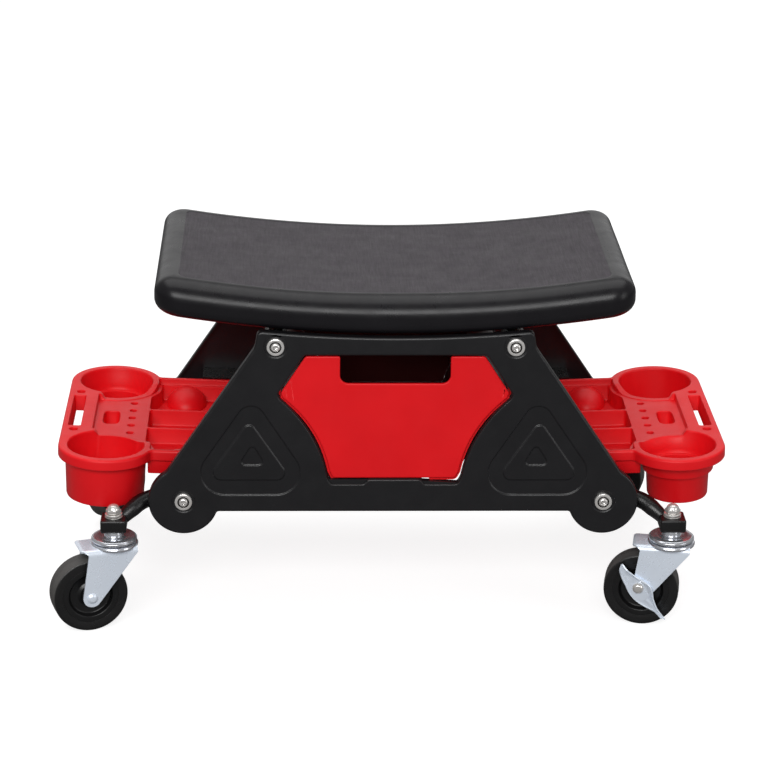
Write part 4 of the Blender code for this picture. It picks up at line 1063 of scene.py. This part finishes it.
def tube(route, radius, sides=28):
    """A round bar: centre line + radius (cos t n + sin t b), with n, b carried along the route,
    closed by two flat ends."""
    along = unit(np.gradient(route, axis=0))
    n = unit(np.cross(along, (0.1, 0.2, 1.0)))
    b = np.cross(along, n)
    t = np.arange(sides) * 2 * math.pi / sides
    circle = n[:, None] * np.cos(t)[:, None] + b[:, None] * np.sin(t)[:, None]
    rings = route[:, None] + radius * circle
    first = route[0] + 0 * rings[:1]
    last = route[-1] + 0 * rings[-1:]
    rings = np.concatenate([first, rings, last])
    return rings, grid_faces(len(rings), sides, wrap_columns=True)


def soft_block(low, high, radius, plan_radius):
    """A block: a rounded outline carried up through a rounded edge, flat below and above."""
    skin = Skin()
    loop = box_outline(low[:2], high[:2], plan_radius)
    under = [(s, low[2] - h) for s, h in rounding(radius, 6)]
    over = [(s, high[2] + h) for s, h in rounding(radius, 6)][::-1]
    skin.wall(loop, under + over)
    skin.flat(low[2], inset(loop, radius))
    skin.flat(high[2], inset(loop, radius))
    return skin.all_points(), skin.faces


def make_arm(place, stem, end, face):
    """Round arm from the lower tie out to the block over the caster, in one piece with it."""
    route = ((-0.0705, -0.0315, 0.128), (-0.047, -0.0305, 0.1265), (-0.028, -0.0235, 0.1230),
             (-0.016, -0.0145, 0.1165), (-0.006, -0.0070, 0.1090))
    corners = [(stem[0] + end * dx, stem[1] + face * dy, z) for dx, dy, z in route]
    narrowing = 1 - 0.25 * np.clip(np.linspace(-2.3, 1, 70), 0, 1)
    bar = tube(through(corners, 70), ARM_RADIUS * narrowing[:, None, None])
    low = (stem[0] - 0.0128, stem[1] - 0.0133, BLOCK[0])
    high = (stem[0] + 0.0128, stem[1] + 0.0133, BLOCK[1])
    block = soft_block(low, high, 0.0016, 0.0022)
    points, faces = merge_surfaces(bar, (block[0], np.array([f for f in block[1] if len(f) == 4])),
                                   (block[0], np.array([f for f in block[1] if len(f) == 3])))
    make_piece(f"arm_and_block_{place}", points, faces, COAT, "chassis", [f"caster_arm_{place}"],
               sharp=35)


def stem_surface():
    """Boss under the block, then a dished upper race, and a rivet head inside the fork."""
    return turned_smooth(
        [(0, 0.1236, 0), (0.0040, 0.1232, 0.0006), (0.0044, 0.1200, 0), (0.0044, 0.1033, 0),
         (0.0080, 0.1032, 0.0008), (0.0092, 0.0985, 0.002), (0.0094, 0.0962, 0.0006), (0.0135, 0.0958, 0.001),
         (0.0165, 0.0963, 0.002), (0.0210, 0.0959, 0.0014), (0.0228, 0.0942, 0.0012), (0.0228, 0.0922, 0.0008),
         (0.0214, 0.0912, 0.0005), (0.0060, 0.0912, 0), (0.0060, 0.0806, 0), (0.0088, 0.0804, 0.0008),
         (0.0084, 0.0778, 0.0012), (0, 0.0776, 0)], 80)


def race_surface():
    """Lower race: a dished ring round the top of the fork."""
    return turned_smooth(
        [(0.0070, 0.0868, 0), (0.0070, 0.0905, 0), (0.0208, 0.0905, 0.0004), (0.0232, 0.0900, 0.0010),
         (0.0240, 0.0882, 0.0012), (0.0234, 0.0858, 0.0008), (0.0215, 0.0868, 0.0006)],
        80, closed=True)


def nut_surface():
    """Dome nut: radius a / cos(t mod 60) on the flats, eased to a circle in the dome and flange;
    under it a spring washer, a flat strip carried once round with a step at its cut."""
    base = BLOCK[1] + 0.0003
    steps = 96
    t = np.arange(steps) * 2 * math.pi / steps
    hexagon = 1 / np.cos((t + math.pi / 6) % (math.pi / 3) - math.pi / 6)
    rows = [(0.0, 0.0132, 0), (0.0020, 0.0130, 0), (0.0038, 0.0123, 0), (0.0053, 0.0110, 0),
            (0.0061, 0.0096, 0), (0.0064, 0.0086, 0.1), (0.0065, 0.0081, 0.5), (0.0069, 0.0077, 0.9),
            (0.0069, 0.0049, 1), (0.0068, 0.0044, 0.8), (0.0058, 0.0041, 0.2),
            (0.0046, 0.0040, 0), (0.0046, 0.0090, 0), (0.0, 0.0100, 0)]
    r, h, share = np.array(rows).T[:, :, None]
    radius = r * (1 + share * (hexagon - 1))
    nut = np.stack([radius * np.cos(t), radius * np.sin(t), base + np.repeat(h, steps, 1)], -1)
    turn = np.radians(np.linspace(12, 348, 80))
    lift = np.linspace(-0.0005, 0.0005, 80)
    section = rounded([(0.0047, -0.0010, 0.0003), (0.0087, -0.0010, 0.0004), (0.0087, 0.0010, 0.0004),
                       (0.0047, 0.0010, 0.0003)], step=math.radians(30))
    strip = np.stack([section[:, 0] * np.cos(turn)[:, None], section[:, 0] * np.sin(turn)[:, None],
                      base + 0.0024 + lift[:, None] + section[:, 1]], -1)
    closed = np.concatenate([strip[:1] * 0 + strip[:1].mean(1, keepdims=True), strip,
                             strip[-1:] * 0 + strip[-1:].mean(1, keepdims=True)])
    seat = turned_smooth([(0.0046, base, 0), (0.0088, base, 0.0002), (0.0088, base + 0.0007, 0.0002),
                          (0.0046, base + 0.0007, 0)], 64, closed=True)
    return merge_surfaces((nut, grid_faces(len(rows), steps, wrap_columns=True)),
                          (closed, grid_faces(len(closed), len(section), wrap_columns=True)), seat)


def tangent(circle_centre, radius, point, side):
    """The point where a line from an outside point touches a circle."""
    away = point - circle_centre
    reach = np.linalg.norm(away)
    a = math.atan2(away[1], away[0]) + side * math.acos(radius / reach)
    return circle_centre + radius * np.array([math.cos(a), math.sin(a)])


def fork_surface(axle):
    """Bent sheet: the path (y, z) goes up one cheek, over the top and down the other; across it
    runs x from the tail edge to the nose edge, which on a cheek are tangents to its round foot."""
    foot, bend, corner = 0.0092, 0.0036, FORK_TOP - 0.0036
    nose, tail = np.array([0.0198, corner]), np.array([-0.0300, corner])
    nose_touch, tail_touch = tangent(axle, foot, nose, -1), tangent(axle, foot, tail, 1)
    a = np.linspace(-math.pi / 2, 0, 22)
    z = np.concatenate([axle[1] + foot * np.sin(a), np.linspace(axle[1], corner, 40)[1:]])
    bow = np.sqrt(np.maximum(foot**2 - (z - axle[1]) ** 2, 0))

    def edge(touch, top, sign):
        line = touch[0] + (top[0] - touch[0]) * (z - touch[1]) / (top[1] - touch[1])
        return np.where(z < touch[1], axle[0] + sign * bow, line)

    high, low = edge(nose_touch, nose, 1), edge(tail_touch, tail, -1)
    t = np.linspace(0, 1, 9)[1:]
    turn_y = FORK_REACH - bend * (1 - np.cos(t * math.pi / 2))
    turn_z_up = corner + bend * np.sin(t * math.pi / 2)
    ease = t * t * (3 - 2 * t)
    top_y = np.linspace(FORK_REACH - bend, 0, 12)[1:]
    y = np.concatenate([np.full(len(z), FORK_REACH), turn_y, top_y])
    height = np.concatenate([z, turn_z_up, np.full(len(top_y), FORK_TOP)])
    crown_radius, tail_end, columns = 0.0232, -0.0368, 28
    crown = np.sqrt(crown_radius**2 - top_y**2)
    nose_end = math.sqrt(crown_radius**2 - turn_y[-1] ** 2)
    front = np.concatenate([high, nose[0] + (nose_end - nose[0]) * ease, crown])
    rear = np.concatenate([low, tail[0] + (tail_end - tail[0]) * ease, np.full(len(top_y), tail_end)])
    y = np.concatenate([y, -y[-2::-1]])
    height, front, rear = (np.concatenate([v, v[-2::-1]]) for v in (height, front, rear))
    s = np.linspace(0, 1, columns)
    x = rear[:, None] + (front - rear)[:, None] * s
    at_tail = (height > corner + 0.002)[:, None] & (x < -0.0345)
    tail_drop = np.where(at_tail, ((-0.0345 - x) / 0.0023) ** 2 * 0.0012, 0)
    points = np.stack([x, np.repeat(y[:, None], columns, 1), height[:, None] - tail_drop], -1)
    return points, grid_faces(len(y), columns)[:, ::-1]


def axle_surface(braked):
    """Axle with a domed rivet head at the front, or a flat one under a brake, and a lock nut at the
    back."""
    tall = 0.12 if braked else 1.0
    seat = FORK_REACH + 0.0002
    return turned_smooth(
        [(0, seat + 0.0044 * tall, 0), (0.0030, seat + 0.0042 * tall, 0.0018 * tall),
         (0.0056, seat + 0.0024 * tall, 0.0018 * tall), (0.0062, seat + 0.0004 * tall, 0.0003 * tall),
         (0.0060, seat, 0.0003), (0.0038, seat, 0), (0.0038, -0.0162, 0), (0.0062, -0.0162, 0.0003),
         (0.0062, -0.0196, 0.0008), (0.0044, -0.0206, 0.0008), (0, -0.0208, 0)], 56)


def wheel_surface():
    """Wheel centre: stepped rim, dished web and hub about the axle's line."""
    front = [(0.0282, 0.0113, 0.0001), (0.0226, 0.0110, 0.0010), (0.0205, 0.0062, 0.0018),
             (0.0128, 0.0056, 0.0015), (0.0098, 0.0080, 0.0012), (0.0092, 0.0126, 0.0008),
             (0.0042, 0.0128, 0.0003)]
    back = [(r, -h, c) for r, h, c in reversed(front)]
    return turned_smooth(front + back, 88, closed=True)


def tyre_surface():
    """Solid tyre: nearly flat tread, rounded shoulders, a fine mould line and slightly hollow
    sides down to the wheel."""
    side = [(0.0283, 0.0113, 0.0001), (0.0345, 0.0119, 0.001), (0.0377, 0.0118, 0.0020), (0.0378, 0.0004, 0.0),
            (0.0379, 0.0002, 0.0)]
    other = [(r, -h, c) for r, h, c in reversed(side)]
    return turned_smooth(side + other, 120, closed=True)


BRAKE_PIVOT = np.array([-0.0026, 0.0046])


def brake_surface():
    """Pressed leaf: point = left edge (1 - w) + right edge w in the lever's plane, its height a
    smooth rise towards the right edge and the tip."""
    left = through([(-0.0175, 0.0240), (-0.0190, 0.0180), (-0.0172, 0.0105), (-0.0130, 0.0020),
                    (-0.0085, -0.0070), (-0.0010, -0.0150), (0.0095, -0.0212), (0.0180, -0.0250),
                    (0.0250, -0.0310)], 80)
    right = through([(-0.0168, 0.0250), (-0.0108, 0.0195), (-0.0047, 0.0152), (0.0040, 0.0100),
                     (0.0118, 0.0045), (0.0148, -0.0030), (0.0160, -0.0100), (0.0208, -0.0210),
                     (0.0284, -0.0305)], 80)
    w = np.linspace(0, 1, 28)
    t = np.linspace(0, 1, 80)[:, None]
    flat = left[:, None] * (1 - w[:, None]) + right[:, None] * w[:, None] + BRAKE_PIVOT
    fold = np.clip((w - 0.66) / 0.34, 0, 1)
    heel = np.clip((0.14 - w) / 0.14, 0, 1)
    tip = np.clip((t - 0.82) / 0.18, 0, 1)
    top = np.clip((0.10 - t) / 0.10, 0, 1)
    height = 0.0052 * fold**1.6 * (1 - 0.4 * tip) * (1 - 0.7 * top) + 0.0010 * heel**2 + 0.0028 * tip**2
    rib = 0.0007 * np.exp(-(((w - 0.42) / 0.10) ** 2)) * np.exp(-(((t - 0.68) / 0.09) ** 2))
    rib = rib - 0.0005 * np.exp(-(((w - 0.45) / 0.12) ** 2)) * np.exp(-(((t - 0.26) / 0.05) ** 2))
    z = FORK_REACH + 0.0008 + height + rib
    return np.concatenate([flat, z[..., None]], -1), grid_faces(80, 28)


def pivot_surface():
    """Domed rivet head on the brake leaf's pivot."""
    seat = FORK_REACH + 0.0013
    points, faces = turned_smooth(
        [(0, seat + 0.0044, 0), (0.0034, seat + 0.0041, 0.002), (0.0054, seat + 0.0024, 0.002),
         (0.0062, seat + 0.0004, 0.0006), (0.0062, seat - 0.0006, 0.0002), (0, seat - 0.0006, 0)], 48)
    return points + (*BRAKE_PIVOT, 0), faces


def finish_sheet(piece, thickness, offset, edge):
    """Gives an open sheet its thickness and soft edges."""
    solid = piece.modifiers.new("sheet", "SOLIDIFY")
    solid.thickness = thickness
    solid.offset = offset
    solid.use_even_offset = True
    bevel = piece.modifiers.new("edges", "BEVEL")
    bevel.width = edge
    bevel.segments = 2
    bevel.limit_method = "ANGLE"
    bevel.angle_limit = math.radians(55)


def stand_up(points):
    """Turns a piece made about Z so that its Z looks along -Y."""
    x, y, z = points.reshape(-1, 3).T
    return np.column_stack([x, -z, y])


def make_caster(place):
    """One caster with its arm: pieces about the stem are turned to the CAD's swivel direction, and
    those about the axle are stood up first."""
    end = 1 if place.endswith("right") else -1
    face = 1 if place.startswith("rear") else -1
    stem_low, stem_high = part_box(f"caster_stem_{place}")
    tyre_low, tyre_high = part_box(f"tyre_{place}")
    stem, hub = (stem_low + stem_high) / 2, (tyre_low + tyre_high) / 2
    yaw = math.degrees(math.atan2(stem.y - hub.y, stem.x - hub.x))
    trail = math.hypot(stem.y - hub.y, stem.x - hub.x)
    origin = (stem.x, stem.y, 0)
    axle = np.array([-trail, hub.z])
    braked = place in BRAKED
    swivel, wheel = f"swivel_{place}", f"wheel_{place}"
    make_arm(place, (stem.x, stem.y), end, face)
    points, faces = stem_surface()
    make_piece(f"stem_and_race_{place}", turn_z(points, yaw, origin), faces, BRIGHT_ZINC, "chassis",
               [f"caster_stem_{place}"], sharp=32)
    points, faces = nut_surface()
    nut_turn = 20
    make_piece(f"dome_nut_{place}", turn_z(points, nut_turn, origin), faces, WARM_ZINC, "chassis",
               [f"cap_nut_{place}"], sharp=32)
    points, faces = race_surface()
    make_piece(f"lower_race_{place}", turn_z(points, yaw, origin), faces, BRIGHT_ZINC, swivel,
               sharp=32)
    points, faces = fork_surface(axle)
    fork = make_piece(f"pressed_fork_{place}", turn_z(points, yaw, origin), faces, ZINC, swivel,
                      [f"fork_{place}"], sharp=32, closed=False)
    finish_sheet(fork, 0.0023, -1, 0.0005)
    about_axle = [("axle_rivet", axle_surface(braked), ZINC, swivel, "axle", "zinc", 32),
                  ("wheel_centre", wheel_surface(), WHEEL, wheel, "wheel", "wheel_black", 32),
                  ("solid_tyre", tyre_surface(), RUBBER, wheel, "tyre", "tyre_rubber", 32)]
    if braked:
        brake = f"brake_{place}"
        about_axle.append(("brake_pivot_rivet", pivot_surface(), WARM_ZINC, brake, None, "zinc", 32))
        about_axle.append(("brake_leaf", brake_surface(), ZINC, brake, "brake_lever", "zinc", 40))
    for name, (points, faces), finish, body, node, slot, sharp in about_axle:
        upright = stand_up(points) + (-trail, 0, hub.z)
        piece = make_piece(f"{name}_{place}", turn_z(upright, yaw, origin), faces, finish, body,
                           [f"{node}_{place}"] if node else (), sharp, closed=name != "brake_leaf")
        if name == "solid_tyre":
            co = np.array([v.co for v in piece.data.vertices]) - np.array(hub)
            a = math.radians(yaw)
            across = co @ np.array([-math.sin(a), math.cos(a), 0])
            reach = np.sqrt(np.maximum((co**2).sum(1) - across**2, 0))
            tread = piece.data.attributes.new("tread", "FLOAT", "POINT")
            tread.data.foreach_set("value", np.clip((reach - 0.0368) / 0.0009, 0, 1).astype(np.float32))
        if name == "brake_leaf":
            finish_sheet(piece, 0.0014, 0, 0.0003)


# CAD nodes that keep their shape


def dress_cad_nodes():
    """Better materials for the board, straps, ties and runners."""
    finishes = (("seat_board", PLYWOOD), ("strap", COAT), ("tie_", COAT), ("rail", COAT))
    for name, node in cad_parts.items():
        for mark, finish in finishes:
            if mark in name:
                node.data.materials.clear()
                node.data.materials.append(finish)


# Stage


def make_stage():
    """White floor and room. Everything but the camera sees them darker, as a studio has dark
    walls outside its white backdrop."""
    floor_mesh = bpy.data.meshes.new("studio_floor")
    far = 40.0
    floor_mesh.from_pydata([(-far, -far, 0), (far, -far, 0), (far, far, 0), (-far, far, 0)], [], [(0, 1, 2, 3)])
    made, net, shader = new_material("pale_floor", Roughness=0.9, Specular_IOR_Level=0.0)
    seen = net.add("ShaderNodeLightPath").outputs["Is Camera Ray"]
    net.join(net.blend(seen, (0.20, 0.20, 0.20), (0.40, 0.40, 0.40)), shader.inputs["Base Color"])
    shader.inputs["Emission Color"].default_value = (1, 1, 1, 1)
    net.join(net.span(seen, 0, 1, 0.0, 0.80), shader.inputs["Emission Strength"])
    floor_mesh.materials.append(made)
    floor = bpy.data.objects.new("studio_floor", floor_mesh)
    bpy.context.scene.collection.objects.link(floor)
    world = bpy.data.worlds.new("soft_white_room")
    bpy.context.scene.world = world
    world.use_nodes = True
    room = Net(world.node_tree)
    background = world.node_tree.nodes["Background"]
    seen = room.add("ShaderNodeLightPath").outputs["Is Camera Ray"]
    room.join(room.span(seen, 0, 1, 0.28, 1.0), background.inputs["Strength"])
    background.inputs["Color"].default_value = (1, 1, 1, 1)
    lights = (
        ("overhead_softbox", (0.0, 0.7, 3.0), (0, 0.1, 0.2), (4.0, 2.6), 54.0),
        ("front_softbox", (-0.6, -3.4, 2.2), (0, 0, 0.25), (3.0, 1.7), 108.0),
        ("backdrop", (0.0, 3.6, 1.45), (0, 0, 1.3), (5.5, 2.4), 20.0),
        ("right_fill", (2.4, -1.6, 1.0), (0, 0, 0.2), (1.0, 1.4), 10.0),
    )
    for name, place, target, size, power in lights:
        lamp = bpy.data.lights.new(name, "AREA")
        lamp.shape = "RECTANGLE"
        lamp.size, lamp.size_y = size
        lamp.energy = power
        held = bpy.data.objects.new(name, lamp)
        bpy.context.scene.collection.objects.link(held)
        held.location = place
        held.rotation_euler = (Vector(target) - Vector(place)).to_track_quat("-Z", "Y").to_euler()
    bpy.context.scene.view_settings.view_transform = "Standard"


def make_camera():
    """Camera square to the seat's front, a little left of its middle and 20 degrees above."""
    across, above, roll = (math.radians(v) for v in (2.0, 19.98, 0.72))
    forward = Vector((math.sin(across) * math.cos(above), math.cos(across) * math.cos(above), -math.sin(above)))
    right = Vector((math.cos(across), -math.sin(across), 0))
    up = right.cross(forward)
    turned_right = right * math.cos(roll) + up * math.sin(roll)
    turned_up = up * math.cos(roll) - right * math.sin(roll)
    lens = bpy.data.cameras.new("camera")
    lens.sensor_width = 36
    lens.lens = 128.96
    lens.clip_end = 200
    camera = bpy.data.objects.new("camera", lens)
    bpy.context.scene.collection.objects.link(camera)
    turn = Matrix((turned_right, turned_up, -forward)).transposed().to_4x4()
    camera.matrix_world = Matrix.Translation((-0.1016, -2.6699, 1.1752)) @ turn
    bpy.context.scene.camera = camera


make_seat()
make_panels()
make_tie_bolts()
make_drawer()
make_trays()
for caster_place in PLACES:
    make_caster(caster_place)
dress_cad_nodes()
make_stage()
make_camera()

bpy.context.view_layer.update()
